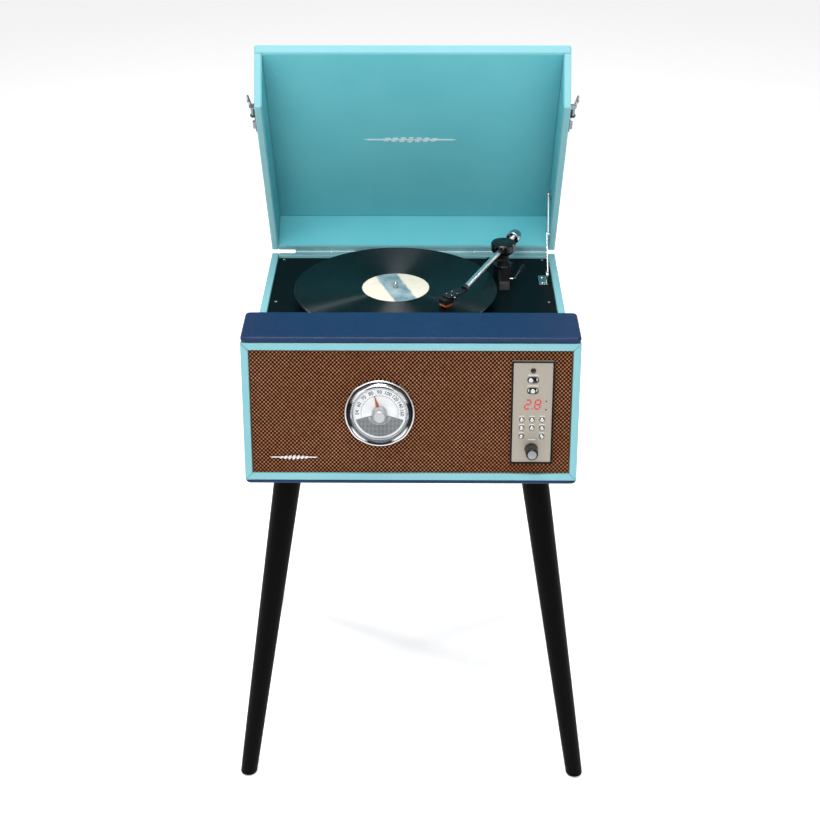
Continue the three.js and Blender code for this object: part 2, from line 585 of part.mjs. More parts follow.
// ---------------------------------------------------------------- lid stay
// Two links between the deck and the lid's right side; they cross side by side at the elbow.
function stay(parent, lid) {
  const head = new THREE.Vector2(-STAY_HEAD.x, STAY_HEAD.y);
  const open = head.clone().rotateAround(new THREE.Vector2(), -LID_OPEN).add(new THREE.Vector2(HINGE_Y, HINGE_Z));
  const elbow = elbowOf(STAY_FOOT, open);
  const lowerX = STAY_X - STAY_PLATE - 0.2;
  const upperX = STAY_X + 0.2;

  add(parent, "stay_lower_link", link(STAY_FOOT, elbow, lowerX), SATIN_METAL);
  const inLid = (p) => p.clone().sub(new THREE.Vector2(HINGE_Y, HINGE_Z)).rotateAround(new THREE.Vector2(), LID_OPEN);
  add(lid, "stay_upper_link", link(head, inLid(elbow), upperX, true), SATIN_METAL);

  const [fy, fz] = [STAY_FOOT.x, STAY_FOOT.y];
  const earX = lowerX - 2;
  const lower = join(
    block(earX - 11, earX + 1.6, fy - 16, fy + 16, DECK_Z + GAP, DECK_Z + 2),
    block(earX, earX + 1.6, fy - 6, fy + 6, DECK_Z + 1, fz),
    rodX(6, earX, earX + 1.6, fy, fz, 18),
    rodX(1.9, earX + 1, STAY_X - 0.1, fy, fz, 12),
  );
  add(parent, "stay_lower_bracket", lower, SATIN_METAL);
  const wallX = HALF - LID_WALL - GAP;
  const upper = join(
    block(upperX + STAY_PLATE + 0.5, wallX, head.x - 6, head.x + 6, head.y - 6, head.y + 6),
    rodX(1.9, STAY_X + 0.1, wallX - 1, head.x, head.y, 12),
  );
  add(lid, "stay_upper_bracket", upper, SATIN_METAL);
}

// Where the two links meet, on the side away from the deck's middle.
function elbowOf(foot, head) {
  const span = head.clone().sub(foot);
  const along = (STAY_LOWER ** 2 + span.lengthSq() - STAY_UPPER ** 2) / (2 * span.length());
  const aside = Math.sqrt(STAY_LOWER ** 2 - along ** 2);
  const unit = span.normalize();
  return foot.clone().addScaledVector(unit, along).addScaledVector(new THREE.Vector2(unit.y, -unit.x), aside);
}

// A flat link from pivot a, where it has an eye, to b, with its near face at x.
function link(a, b, x, riveted = false) {
  const run = b.clone().sub(a);
  const eye = 4.6;
  const flat = join(
    block(0, STAY_PLATE, 0, run.length(), -3.2, 3.2),
    rodX(eye, 0, STAY_PLATE, 0, 0, 16),
    rodX(eye, 0, STAY_PLATE, run.length(), 0, 16),
    ...(riveted ? [rodX(2.6, STAY_PLATE - 0.2, STAY_PLATE + 1.2, run.length(), 0, 12)] : []),
  );
  const eyed = cut(flat, rodX(2.3, -1, STAY_PLATE + 1, 0, 0, 12));
  return eyed.rotateX(Math.atan2(run.y, run.x)).translate(x, a.x, a.y);
}

// ---------------------------------------------------------------- rear connections and legs
function rearJacks(parent) {
  const back = DEPTH + GAP;
  const sockets = [-30, -12].map((x) => rodY(4.2, back + 1, back + 9, x, 60, 16));
  const inlet = rodY(6, back + 1, back + 7, 26, 60, 18);
  const bore = rodY(2.7, back + 3, back + 8, 26, 60, 12);
  const panel = cut(join(block(-48, 48, back, back + 2, 40, 80), ...sockets, inlet), bore);
  add(parent, "rear_jack_plate", panel, BLACK_PLASTIC);
}

function legs(parent) {
  const corners = [
    ["leg_front_left", -1, -1],
    ["leg_front_right", 1, -1],
    ["leg_rear_left", -1, 1],
    ["leg_rear_right", 1, 1],
  ];
  const top = -BOTTOM_BOARD - GAP;
  const spare = 12; // the turned leg runs past both cutting planes
  for (const [name, sx, sy] of corners) {
    const foot = new THREE.Vector3(sx * FOOT.x, DEPTH / 2 + sy * FOOT.y, -CABINET_LIFT);
    const head = new THREE.Vector3(sx * LEG_TOP.x, DEPTH / 2 + sy * LEG_TOP.y, top);
    const run = head.clone().sub(foot);
    const length = run.length();
    const profile = [
      [0, -spare],
      [LEG_FOOT_R - 4, -spare],
      [LEG_FOOT_R - 3.6, 2.5],
      [LEG_FOOT_R - 1, 5.5],
      [LEG_FOOT_R, 10],
      [LEG_TOP_R, length + spare],
      [0, length + spare],
    ];
    const aim = new THREE.Quaternion().setFromUnitVectors(new THREE.Vector3(0, 0, 1), run.clone().normalize());
    const leg = turned(profile, 28).applyQuaternion(aim).translate(foot.x, foot.y, foot.z);
    const wide = 60;
    const around = (p, z0, z1) => block(p.x - wide, p.x + wide, p.y - wide, p.y + wide, z0, z1);
    const trimmed = cut(leg, around(head, top, top + 40), around(foot, -CABINET_LIFT - 40, -CABINET_LIFT));
    add(parent, name, trimmed, BLACK_PAINT);
  }
}

// ---------------------------------------------------------------- the object
const player = new THREE.Group();
const body = new THREE.Group();
body.position.set(0, -MID_DEPTH, CABINET_LIFT);
player.add(body);

cabinet(body);
deck(body);
frontFace(body);
platterAndDrive(body);
tonearm(body);
lidGroup(body);
rearJacks(body);
legs(body);

export default player;
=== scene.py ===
import json
from math import cos, exp, hypot, pi, radians, sin, sqrt, tan

import bmesh
import bpy
from mathutils import Matrix, Vector


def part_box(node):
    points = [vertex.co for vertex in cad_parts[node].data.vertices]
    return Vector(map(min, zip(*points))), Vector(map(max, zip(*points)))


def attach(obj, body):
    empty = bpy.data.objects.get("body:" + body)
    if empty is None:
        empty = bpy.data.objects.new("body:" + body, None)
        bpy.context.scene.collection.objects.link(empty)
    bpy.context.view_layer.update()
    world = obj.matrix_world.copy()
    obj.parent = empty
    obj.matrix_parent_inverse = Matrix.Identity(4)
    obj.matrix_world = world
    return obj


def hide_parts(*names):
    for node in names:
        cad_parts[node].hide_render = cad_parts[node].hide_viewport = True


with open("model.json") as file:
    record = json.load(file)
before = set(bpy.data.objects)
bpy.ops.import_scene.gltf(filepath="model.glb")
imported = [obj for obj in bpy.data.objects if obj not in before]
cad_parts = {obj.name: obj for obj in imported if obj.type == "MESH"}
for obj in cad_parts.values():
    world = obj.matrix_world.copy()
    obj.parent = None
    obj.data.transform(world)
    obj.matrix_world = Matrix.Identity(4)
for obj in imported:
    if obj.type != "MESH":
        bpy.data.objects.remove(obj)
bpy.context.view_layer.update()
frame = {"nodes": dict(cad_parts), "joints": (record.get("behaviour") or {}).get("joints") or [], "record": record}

MM = 0.001
RECORD = frame["record"]
BODY_OF = {n: b for b, ns in RECORD["behaviour"]["bodies"].items() for n in ns}
JOINT = {j["name"]: j for j in frame["joints"]}
X, Y, Z = Vector((1, 0, 0)), Vector((0, 1, 0)), Vector((0, 0, 1))


# ---- frames, taken from the joints
def joint_at(name):
    return Vector(JOINT[name]["pos_m"]) / MM


def joint_axis(name):
    return Vector(JOINT[name]["axis"]).normalized()


def box_of(node):
    """Low and high corners of a CAD node at rest, in millimetres."""
    low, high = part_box(node)
    return Vector(low) / MM, Vector(high) / MM


def shift(x=0.0, y=0.0, z=0.0):
    """A move given in millimetres."""
    return Matrix.Translation((x * MM, y * MM, z * MM))


def turn(degrees, axis="Z"):
    return Matrix.Rotation(radians(degrees), 4, axis)


def aim(direction):
    """Turns Z to point along a direction."""
    return Z.rotation_difference(Vector(direction)).to_matrix().to_4x4()


def axes_matrix(x, y, z, origin=(0, 0, 0)):
    m = Matrix((x, y, z)).transposed().to_4x4()
    m.translation = Vector(origin)
    return m


DIAL_ACROSS, DIAL_UP = -41.6, 98
PANEL_ACROSS, PANEL_UP = 162.3, 99
OUTWARD = joint_axis("tuning_turn")
FACE_UP = X.cross(-OUTWARD)
FACE_ORIGIN = (joint_at("tuning_turn") - X * DIAL_ACROSS - FACE_UP * DIAL_UP) * MM
FACE = axes_matrix(X, -OUTWARD, FACE_UP, FACE_ORIGIN)  # across, into the cabinet, up the slant
FRONT = axes_matrix(X, FACE_UP, OUTWARD, FACE_ORIGIN)  # across, up the slant, out of the face
DIAL = FRONT @ shift(DIAL_ACROSS, DIAL_UP)
PANEL = FRONT @ shift(PANEL_ACROSS)

LID = shift(*joint_at("lid_hinge")) @ turn(-JOINT["lid_hinge"]["range_deg"][1], "X")  # drawn as if closed
SIDEWAYS = axes_matrix(Y, Z, X)  # an outline's X and Y become Y and Z, and its depth runs along X

ARM_PIVOT = joint_at("tonearm_swing")
ARM_SIDE = -joint_axis("tonearm_lift")
ARM = axes_matrix(ARM_SIDE, Z.cross(ARM_SIDE), Z, ARM_PIVOT * MM)  # the tube runs along -Y
ARM_SLOPE = 2.3
NECK = 152
NECK_DROP = radians(ARM_SLOPE)
TUBE = ARM @ turn(ARM_SLOPE, "X") @ turn(90, "X")  # a turned profile's axis runs down the tube
SHELL = ARM @ shift(0, -NECK * cos(NECK_DROP), -NECK * sin(NECK_DROP)) @ turn(-23)

SPINDLE = joint_at("platter_spin")
DECK_Z = box_of("deck_plate")[1].z
RECORD_LOW, PLAY_Z = (corner.z for corner in box_of("record"))
DISC = shift(SPINDLE.x, SPINDLE.y)


# ---- shapes
def soften(points, radius, steps=3):
    """The open outline with each corner rounded by up to radius."""
    out = [Vector(points[0])]
    for before, p, after in zip(points, points[1:], points[2:]):
        p = Vector(p)
        a, b = Vector(before) - p, Vector(after) - p
        cut = min(radius, a.length * 0.45, b.length * 0.45)
        start, end = p + a.normalized() * cut, p + b.normalized() * cut
        for k in range(steps + 1):
            t = k / steps
            out.append(start * (1 - t) ** 2 + p * 2 * t * (1 - t) + end * t ** 2)
    return out + [Vector(points[-1])]


def rounded_rect(width, height, radius, steps=5):
    """Corner-rounded rectangle about its middle, anticlockwise."""
    points = []
    for cx, cy, start in ((1, -1, -90), (1, 1, 0), (-1, 1, 90), (-1, -1, 180)):
        for k in range(steps + 1):
            a = radians(start + 90 * k / steps)
            points.append(Vector((cx * (width / 2 - radius) + radius * cos(a),
                                  cy * (height / 2 - radius) + radius * sin(a))))
    return points


def ring_points(radius, sides):
    """Points round the Z axis, anticlockwise."""
    return [Vector((radius * cos(a), radius * sin(a), 0))
            for a in (2 * pi * k / sides for k in range(sides))]


def inset_outline(points, inset):
    """Each point moved in by inset, for an anticlockwise outline."""
    out = []
    count = len(points)
    for i, p in enumerate(points):
        a = (p - points[i - 1]).normalized()
        b = (points[(i + 1) % count] - p).normalized()
        na, nb = Vector((-a.y, a.x)), Vector((-b.y, b.x))
        middle = na + nb
        length = middle.length_squared
        out.append(p + middle * (2 * inset / length) if length > 0.2 else p + nb * inset)
    return out


def mirrored(right):
    """A symmetrical outline from its right half, given upwards."""
    return right + [(-x, y) for x, y in reversed(right)]


class Shape:
    """Gathers closed bodies in one mesh. A call's own matrix is applied inside the shape's place."""

    def __init__(self, place=None):
        self.bm = bmesh.new()
        self.place = place or Matrix.Identity(4)

    def add(self, verts, faces, at=None):
        matrix = self.place @ (at or Matrix.Identity(4))
        made = [self.bm.verts.new(matrix @ (Vector(v) * MM)) for v in verts]
        for face in faces:
            self.bm.faces.new([made[i] for i in face])
        return self

    def skin(self, verts, count, at=None):
        """Closed rings of count points, stacked in order, with both ends capped."""
        faces = [tuple(range(count - 1, -1, -1)), tuple(range(len(verts) - count, len(verts)))]
        for a in range(0, len(verts) - count, count):
            b = a + count
            faces += [(a + k, a + (k + 1) % count, b + (k + 1) % count, b + k) for k in range(count)]
        return self.add(verts, faces, at)

    def turned(self, profile, sides=48, at=None, wave=None):
        """Profile of (radius, height) turned about Z. Ends on the axis close it; else it closes on itself."""
        verts, rings = [], []
        for r, z in profile:
            if r < 1e-4:
                rings.append([len(verts)] * sides)
                verts.append((0, 0, z))
                continue
            rings.append(list(range(len(verts), len(verts) + sides)))
            for k in range(sides):
                a = 2 * pi * k / sides
                rr = r + (wave(a, r, z) if wave else 0.0)
                verts.append((rr * cos(a), rr * sin(a), z))
        pairs = list(zip(rings, rings[1:]))
        if rings[0][0] != rings[0][1]:
            pairs.append((rings[-1], rings[0]))
        faces = []
        for low, high in pairs:
            for k in range(sides):
                n = (k + 1) % sides
                faces.append(tuple(dict.fromkeys((low[k], low[n], high[n], high[k]))))
        return self.add(verts, faces, at)

    def prism(self, outline, z0, z1, bevel=0.0, steps=2, at=None):
        """Outline in XY carried from z0 to z1, its rims rounded by bevel."""
        flat = [Vector(p) for p in outline]
        levels = [(z0, 0.0), (z1, 0.0)]
        if bevel:
            low = [(z0 + bevel * (1 - cos(t)), bevel * (1 - sin(t)))
                   for t in (pi / 2 * k / steps for k in range(steps + 1))]
            levels = low + [(z1 - (z - z0), inset) for z, inset in reversed(low)]
        verts = []
        for z, inset in levels:
            ring = inset_outline(flat, inset) if inset > 1e-6 else flat
            verts += [(p.x, p.y, z) for p in ring]
        return self.skin(verts, len(flat), at)

    def ring_prism(self, outer, inner, z0, z1, at=None):
        """A flat ring between two outlines with the same number of points."""
        count = len(outer)
        verts = [(p.x, p.y, z) for z in (z0, z1) for ring in (outer, inner) for p in ring]
        lo, li, ho, hi = 0, count, 2 * count, 3 * count
        faces = []
        for k in range(count):
            n = (k + 1) % count
            faces += [(lo + k, lo + n, ho + n, ho + k), (li + n, li + k, hi + k, hi + n),
                      (ho + k, ho + n, hi + n, hi + k), (lo + n, lo + k, li + k, li + n)]
        return self.add(verts, faces, at)

    def band(self, inner, outer, start, end, z0, z1, steps=48):
        """A flat band round Z from one angle to another, in degrees clockwise from straight up."""
        angles = [radians(90 - (start + (end - start) * k / steps)) for k in range(steps + 1)]
        outline = [(inner * cos(a), inner * sin(a)) for a in angles]
        outline += [(outer * cos(a), outer * sin(a)) for a in reversed(angles)]
        return self.prism(outline, z0, z1)

    def rod(self, a, b, radius, sides=20, end_radius=None, at=None):
        """A cylinder, or a cone, from point a to point b, with softly broken rims."""
        run = Vector(b) - Vector(a)
        far = radius if end_radius is None else end_radius
        edge = min(radius, far, run.length) * 0.18
        profile = [(0, 0), (radius - edge, 0), (radius, edge), (far, run.length - edge),
                   (far - edge, run.length), (0, run.length)]
        return self.turned(profile, sides, (at or Matrix.Identity(4)) @ shift(*a) @ aim(run))

    def box(self, low, high, bevel=0.0, steps=2, at=None):
        low, high = Vector(low), Vector(high)
        size, mid = high - low, (low + high) / 2
        outline = rounded_rect(size.x, size.y, max(bevel, 0.01), 3)
        middle = (at or Matrix.Identity(4)) @ shift(mid.x, mid.y)
        return self.prism(outline, low.z, high.z, bevel, steps, middle)

    def bar(self, half, y0, y1, z0, z1, bevel=0.0, steps=1, at=None):
        """A box reaching half to each side of X = 0."""
        return self.box((-half, y0, z0), (half, y1, z1), bevel, steps, at)

    def sweep(self, points, radius, sides=12):
        """A round bar along a list of points."""
        verts, side = [], None
        for i, p in enumerate(points):
            ahead = (points[min(i + 1, len(points) - 1)] - points[max(i - 1, 0)]).normalized()
            side = side or ahead.orthogonal().normalized()
            side = (side - ahead * side.dot(ahead)).normalized()
            up = ahead.cross(side)
            verts += [p + side * q.x + up * q.y for q in ring_points(radius, sides)]
        return self.skin(verts, sides)

    def screw(self, head_at, out, radius=2.6):
        """A domed screw head with a cross on it, standing on a surface whose normal is out."""
        head = shift(*head_at) @ aim(out)
        height = radius * 0.42
        profile = [(0, -0.2), (radius, -0.2)]
        for f in (1.0, 0.94, 0.8, 0.62, 0.45, 0.34, 0.26):
            sunk = 0.55 if f < 0.3 else 1.0
            profile.append((radius * f, height * sqrt(1 - f * f) * sunk))
        self.turned(profile + [(0, height * 0.4)], 24, head)
        for angle in (0, 90):
            cross = head @ Matrix.Rotation(0.6 + radians(angle), 4, "Z")
            self.bar(radius * 0.62, -radius * 0.14, radius * 0.14, height * 0.35, height * 0.88, at=cross)
        return self

    def made(self, name, smooth=35, own=None):
        """The finished object; own is the frame that its material's pattern follows."""
        bmesh.ops.recalc_face_normals(self.bm, faces=self.bm.faces)
        obj = mesh_object(name, self.bm, smooth)
        if own:
            obj.matrix_world = own
        return obj

    def show(self, name, material, slot, body="cabinet", smooth=35, own=None):
        return settle(self.made(name, smooth, own), material, body)

    def stand(self, name, material, node, smooth=35, own=None):
        return stand_in(self.made(name, smooth, own), material, node)


def screws(name, material, places, out, radius, body="cabinet", place=None):
    """A group of like screws or rivets as one piece."""
    shape = Shape(place)
    for head_at in places:
        shape.screw(head_at, out, radius)
    shape.show(name, material, "chrome", body)


def mesh_object(name, bm, smooth=35):
    mesh = bpy.data.meshes.new(name)
    bm.to_mesh(mesh)
    bm.free()
    for polygon in mesh.polygons:
        polygon.use_smooth = True
    mesh.set_sharp_from_angle(angle=radians(smooth))
    obj = bpy.data.objects.new(name, mesh)
    bpy.context.scene.collection.objects.link(obj)
    # Broad faces keep flat shading right up to their rounded edges.
    even = obj.modifiers.new("even_normals", "WEIGHTED_NORMAL")
    even.keep_sharp, even.weight = True, 100
    depsgraph = bpy.context.evaluated_depsgraph_get()
    shaded = bpy.data.meshes.new_from_object(obj.evaluated_get(depsgraph), preserve_all_data_layers=True,
                                             depsgraph=depsgraph)
    obj.modifiers.clear()
    obj.data = shaded
    bpy.data.meshes.remove(mesh)
    shaded.name = name
    return obj


def settle(obj, material, body):
    """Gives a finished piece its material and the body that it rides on."""
    obj.data.materials.clear()
    obj.data.materials.append(material)
    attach(obj, body)
    return obj


def stand_in(obj, material, node):
    """The piece is shown in place of this CAD node."""
    settle(obj, material, BODY_OF[node])
    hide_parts(node)
    return obj


def paint(node, material):
    """A CAD node whose shape is right keeps it and gets a material."""
    slot = frame["nodes"][node].material_slots[0]
    slot.link = "OBJECT"
    slot.material = material


def refined(node, name, material, bevel, segments=3, sharp=25):
    """The CAD node's own shape with its edges rounded, shown in its place."""
    bm = bmesh.new()
    bm.from_mesh(frame["nodes"][node].data)
    bmesh.ops.remove_doubles(bm, verts=bm.verts, dist=2e-6)
    bmesh.ops.dissolve_limit(bm, angle_limit=radians(0.5), verts=bm.verts, edges=bm.edges)
    edges = [e for e in bm.edges
             if len(e.link_faces) == 2 and e.calc_face_angle(0.0) > radians(sharp)]
    bmesh.ops.bevel(bm, geom=edges, offset=bevel * MM, segments=segments, profile=0.5, affect="EDGES",
                    clamp_overlap=True)
    bmesh.ops.recalc_face_normals(bm, faces=bm.faces)
    return stand_in(mesh_object(name, bm, 40), material, node)


# ---- materials, in metres
def linear(r, g, b):
    """A colour given as 0-255 screen values, as scene-linear RGBA."""
    return tuple((c / 255 / 12.92 if c <= 10.3 else ((c / 255 + 0.055) / 1.055) ** 2.4)
                 for c in (r, g, b)) + (1.0,)


def scaled(tone, factor):
    return tuple(int(c * factor) for c in tone)


class Look:
    """One material's node tree, with short calls for what the materials here share."""

    def __init__(self, name, **values):
        self.material = bpy.data.materials.new(name)
        self.material.use_nodes = True
        self.tree = self.material.node_tree
        self.shader = self.tree.nodes["Principled BSDF"]
        self.coords = self.node("TexCoord").outputs["Object"]
        for key, value in values.items():
            self.shader.inputs[key.replace("_", " ")].default_value = value

    def node(self, kind, inputs=None, **settings):
        node = self.tree.nodes.new("ShaderNode" + kind)
        for key, value in settings.items():
            setattr(node, key, value)
        for key, value in (inputs or {}).items():
            self.feed(node.inputs[key], value)
        return node

    def feed(self, socket, value):
        if isinstance(value, bpy.types.NodeSocket):
            self.tree.links.new(value, socket)
        else:
            socket.default_value = value

    def set(self, key, value):
        self.feed(self.shader.inputs[key], value)

    def math(self, operation, a, b=0.0):
        return self.node("Math", {0: a, 1: b}, operation=operation).outputs[0]

    def times(self, a, b):
        return self.math("MULTIPLY", a, b)

    def plus(self, a, b):
        return self.math("ADD", a, b)

    def wave(self, kind, value, pitch):
        """SINE or COSINE of a length, repeating every pitch."""
        return self.math(kind, self.times(value, 2 * pi / pitch))

    def noise(self, scale, detail=3.0, rough=0.5, stretch=None):
        vector = self.coords
        if stretch:
            vector = self.node("Mapping", {"Vector": vector, "Scale": stretch}).outputs[0]
        return self.node("TexNoise", {"Vector": vector, "Scale": scale, "Detail": detail,
                                      "Roughness": rough}).outputs["Fac"]

    def span(self, value, low=0.3, high=0.7, to_low=0.0, to_high=1.0):
        return self.node("MapRange", {"Value": value, "From Min": low, "From Max": high,
                                      "To Min": to_low, "To Max": to_high}).outputs[0]

    def mix(self, factor, a, b):
        """Colour a where the factor is 0, b where it is 1; either is a socket or a screen colour."""
        a, b = (c if isinstance(c, bpy.types.NodeSocket) else linear(*c) for c in (a, b))
        return self.node("Mix", {0: factor, 6: a, 7: b}, data_type="RGBA").outputs[2]

    def colour(self, factor, a, b):
        self.set("Base Color", self.mix(factor, a, b))

    def rough(self, value, to_low, to_high, low=0.3, high=0.7):
        self.set("Roughness", self.span(value, low, high, to_low, to_high))

    def bump(self, height, distance, strength):
        node = self.node("Bump", {"Height": height, "Distance": distance, "Strength": strength})
        self.set("Normal", node.outputs[0])

    def axes(self, vector=None):
        return self.node("SeparateXYZ", {0: vector or self.coords}).outputs

    def from_spindle(self):
        move = {"Vector": self.coords, "Location": (-SPINDLE.x * MM, -SPINDLE.y * MM, 0)}
        return self.node("Mapping", move).outputs[0]

    def length(self, vector):
        return self.node("VectorMath", {0: vector}, operation="LENGTH").outputs["Value"]


def vinyl(name, base, deep, light, gloss=0.3):
    """Wrapped leatherette: pebbled grain about a millimetre across, with slight mottling."""
    look = Look(name, Specular_IOR_Level=gloss)
    grain = look.node("TexVoronoi", {"Vector": look.coords, "Scale": 1150}).outputs[0]
    tone = look.mix(look.span(look.noise(14, 4)), deep, base)
    pores = look.span(grain, 0.15, 0.75, 0.0, 0.55)
    look.colour(look.times(pores, 0.35), tone, light)
    look.rough(look.noise(60), 0.40, 0.54)
    look.bump(look.plus(look.times(grain, -1.0), look.times(look.noise(2600, 2), 0.35)), 0.00022, 0.55)
    return look.material


def chrome(name, tone=(226, 228, 230), rough=0.07):
    """Bright plating with faint haze and wiping marks."""
    look = Look(name, Metallic=1.0)
    look.colour(look.noise(35), tone, scaled(tone, 0.93))
    look.rough(look.noise(90, 4, 0.6, (1, 1, 4)), rough, rough + 0.09, 0.3, 0.75)
    look.bump(look.noise(160, 2), 0.00001, 0.15)
    return look.material


def bezel_chrome():
    """Plating with four painted dark reflections between the diagonal lugs, and a seam inside the outer lip."""
    look = Look("bezel_chrome", Metallic=1.0, Roughness=0.17)
    parts = look.axes()
    across, up = (look.times(parts[i], parts[i]) for i in (0, 1))
    lobes = look.math("DIVIDE", look.math("SUBTRACT", across, up), look.plus(across, up))
    # painted dark reflection on the arcs between the lugs, thinner at the top
    painted_dark_reflection = look.span(look.math("ABSOLUTE", lobes), 0.45, 0.72)
    radius = look.math("SQRT", look.plus(across, up))
    narrow = look.span(parts[1], 0.022, 0.03, 0.0447, 0.0408)  # the painted dark reflection at the top is only a fine line
    inside = look.times(look.span(radius, 0.0385, 0.0392), look.math("LESS_THAN", radius, narrow))
    seam = look.times(look.span(radius, 0.0439, 0.0443), look.span(radius, 0.0449, 0.0451, 1, 0))
    # the painted dark reflections, plus the seam's dark line
    dark = look.math("MAXIMUM", look.times(painted_dark_reflection, inside), seam)
    look.colour(look.plus(dark, look.times(look.noise(60, 2), 0.08)), (214, 216, 218), (34, 38, 42))
    look.bump(look.noise(160, 2), 0.00001, 0.15)
    return look.material


def finish(name, tones, texture, rough, relief, mottle=None, low=0.3, high=0.7, **values):
    """Roughness and relief follow one noise. The colour follows it too, unless mottle gives another."""
    look = Look(name, **values)
    fine = look.noise(*texture)
    look.colour(look.span(look.noise(*mottle) if mottle else fine, low, high), *tones)
    look.rough(fine, *rough)
    look.bump(fine, *relief)
    return look.material


def brushed(name, tone, stretch, rough):
    """Metal with fine lines along one direction."""
    return finish(name, (scaled(tone, 0.8), tone), (900, 3, 0.6, stretch),
                  (rough - 0.07, rough + 0.09, 0.2, 0.8), (0.00003, 0.4), Metallic=1.0, Anisotropic=0.4)


def plastic(name, base, rough=0.42, grain=1500, depth=0.00006):
    """Moulded plastic: fine spark-eroded texture and slight tone change."""
    light = tuple(int(c * 1.25 + 5) for c in base)
    return finish(name, (base, light), (grain, 3, 0.6), (rough - 0.06, rough + 0.08), (depth, 0.6),
                  (45,), 0.35, Specular_IOR_Level=0.5)


def coloured(name, dark, light, rough, grain=700, **values):
    """A plain body colour with mottling and a fine surface."""
    return finish(name, (dark, light), (grain,), (rough - 0.05, rough + 0.07), (0.0001, 0.5), (40, 4),
                  **values)


def grille_weave(pitch_across, pitch_up):
    """Two-tone basket weave: tan bundles standing out of dark brown ones, thread by thread; the deepest hollows
    between them are painted near-black shade.
    """
    look = Look("grille_weave", Roughness=0.9, Specular_IOR_Level=0.08)
    parts = look.axes()
    across, up = parts[0], parts[2]
    check = look.times(look.wave("COSINE", across, pitch_across), look.wave("COSINE", up, pitch_up))
    tan = look.mix(look.span(look.noise(11, 3, 0.6), 0.35, 0.65), (168, 124, 91), (153, 106, 71))
    # near-black painted shade for the deepest hollows of the weave
    dark = look.mix(look.span(look.noise(17, 2), 0.35, 0.65), (6, 2, 1), (14, 5, 3))
    strands = look.wave("SINE", look.plus(across, up), 0.0009)
    fleck = look.times(look.math("SUBTRACT", look.noise(420, 2), 0.5), 0.9)
    thread = look.plus(look.plus(check, look.times(strands, 0.12)), fleck)
    # brown threads, going to painted near-black shade in the deepest hollows
    brown = look.mix(look.span(thread, -0.5, 0.0), dark, (82, 43, 25))
    look.colour(look.span(thread, 0.12, 0.85), brown, tan)
    look.bump(look.plus(look.times(strands, 0.3), look.noise(2400, 2)), 0.00018, 0.7)
    return look.material


def record_vinyl():
    """Pressed vinyl: concentric grooves that catch the light across their run."""
    look = Look("record_grooved_vinyl", Anisotropic=1.0, Anisotropic_Rotation=0.25, Roughness=0.36,
                Specular_IOR_Level=0.5)
    flat = look.node("VectorMath", {0: look.from_spindle(), 1: (1, 1, 0)}, operation="MULTIPLY")
    radius = look.length(flat.outputs[0])
    streaks = {"W": look.times(radius, 260), "Detail": 3.0}
    bands = look.node("TexNoise", streaks, noise_dimensions="1D").outputs["Fac"]
    look.colour(look.span(bands), (0, 1, 2), (0, 2, 4))
    look.set("Tangent", look.node("Tangent", direction_type="RADIAL", axis="Z").outputs[0])
    look.bump(look.plus(look.times(look.wave("SINE", radius, 0.00085), 0.5), bands), 0.00005, 0.25)
    return look.material


def label_paper():
    """Plain paper label: cream with a soft grey-blue band across it."""
    look = Look("label_paper", Roughness=0.6, Specular_IOR_Level=0.3)
    parts = look.axes(look.from_spindle())
    lean = look.plus(look.times(parts[0], 0.94), look.times(parts[1], 0.33))
    wobble = look.times(look.math("SUBTRACT", look.noise(70), 0.5), 0.006)
    edge = look.span(look.math("ABSOLUTE", look.plus(lean, wobble)), 0.0145, 0.018, 1, 0)
    cream = look.mix(look.noise(120), (224, 216, 200), (206, 197, 180))
    blue = look.mix(look.span(look.noise(55, 4)), (96, 124, 136), (150, 168, 172))
    look.colour(edge, cream, blue)
    look.bump(look.noise(1600, 2), 0.00003, 0.4)
    return look.material


def dial_silver():
    """Satin printed dial with fine turned lines."""
    look = Look("dial_satin_silver", Metallic=0.35, Specular_IOR_Level=0.5)
    lines = look.wave("SINE", look.length(look.coords), 0.0005)
    look.colour(look.span(look.noise(60)), (226, 229, 231), (212, 216, 219))
    look.rough(lines, 0.32, 0.42, -1, 1)
    look.bump(lines, 0.00001, 0.4)
    return look.material


def crosshatch(pitch):
    """Fine diagonal lattice in mid grey and near white, as on a punched dial insert."""
    look = Look("dial_lattice", Roughness=0.6, Specular_IOR_Level=0.2)
    across, up = look.axes()[:2]
    one = look.wave("SINE", look.plus(across, up), pitch)
    two = look.wave("SINE", look.math("SUBTRACT", across, up), pitch)
    lattice = look.times(one, two)
    look.colour(look.span(lattice, -0.3, 0.3), (22, 25, 28), (158, 163, 166))
    look.bump(lattice, 0.0002, 0.6)
    return look.material


def glow(name, tone, strength):
    """Lit display plastic."""
    look = Look(name, Roughness=0.4, Emission_Strength=strength)
    speck = look.mix(look.noise(900, 2), tone, scaled(tone, 0.86))
    look.set("Base Color", speck)
    look.set("Emission Color", speck)
    return look.material


WEAVE_ACROSS, WEAVE_UP = 5.3, 5.6
BEZEL = bezel_chrome()
VINYL_BLUE = vinyl("vinyl_light_blue", (124, 179, 187), (117, 175, 184), (142, 191, 197))
VINYL_NAVY = vinyl("vinyl_navy", (5, 40, 78), (4, 37, 72), (16, 52, 92), 0.28)
LINING = vinyl("lid_lining_vinyl", (104, 190, 200), (96, 185, 196), (118, 198, 206), 0.22)
CHROME = chrome("bright_chrome")
DARK_CHROME = chrome("smoked_chrome", (58, 60, 62), 0.08)
LATCH_METAL = chrome("latch_plating", (128, 138, 142), 0.18)
NICKEL = chrome("nickel", (206, 208, 207), 0.22)
TUBE_METAL = chrome("polished_tube", (240, 244, 245), 0.3)
BRONZE = chrome("bronze_screw", (128, 96, 74), 0.25)
KNOB_SILVER = brushed("spun_silver", (214, 216, 218), (2, 2, 2), 0.5)
STEEL = brushed("drawn_steel", (168, 170, 172), (1, 1, 12), 0.34)
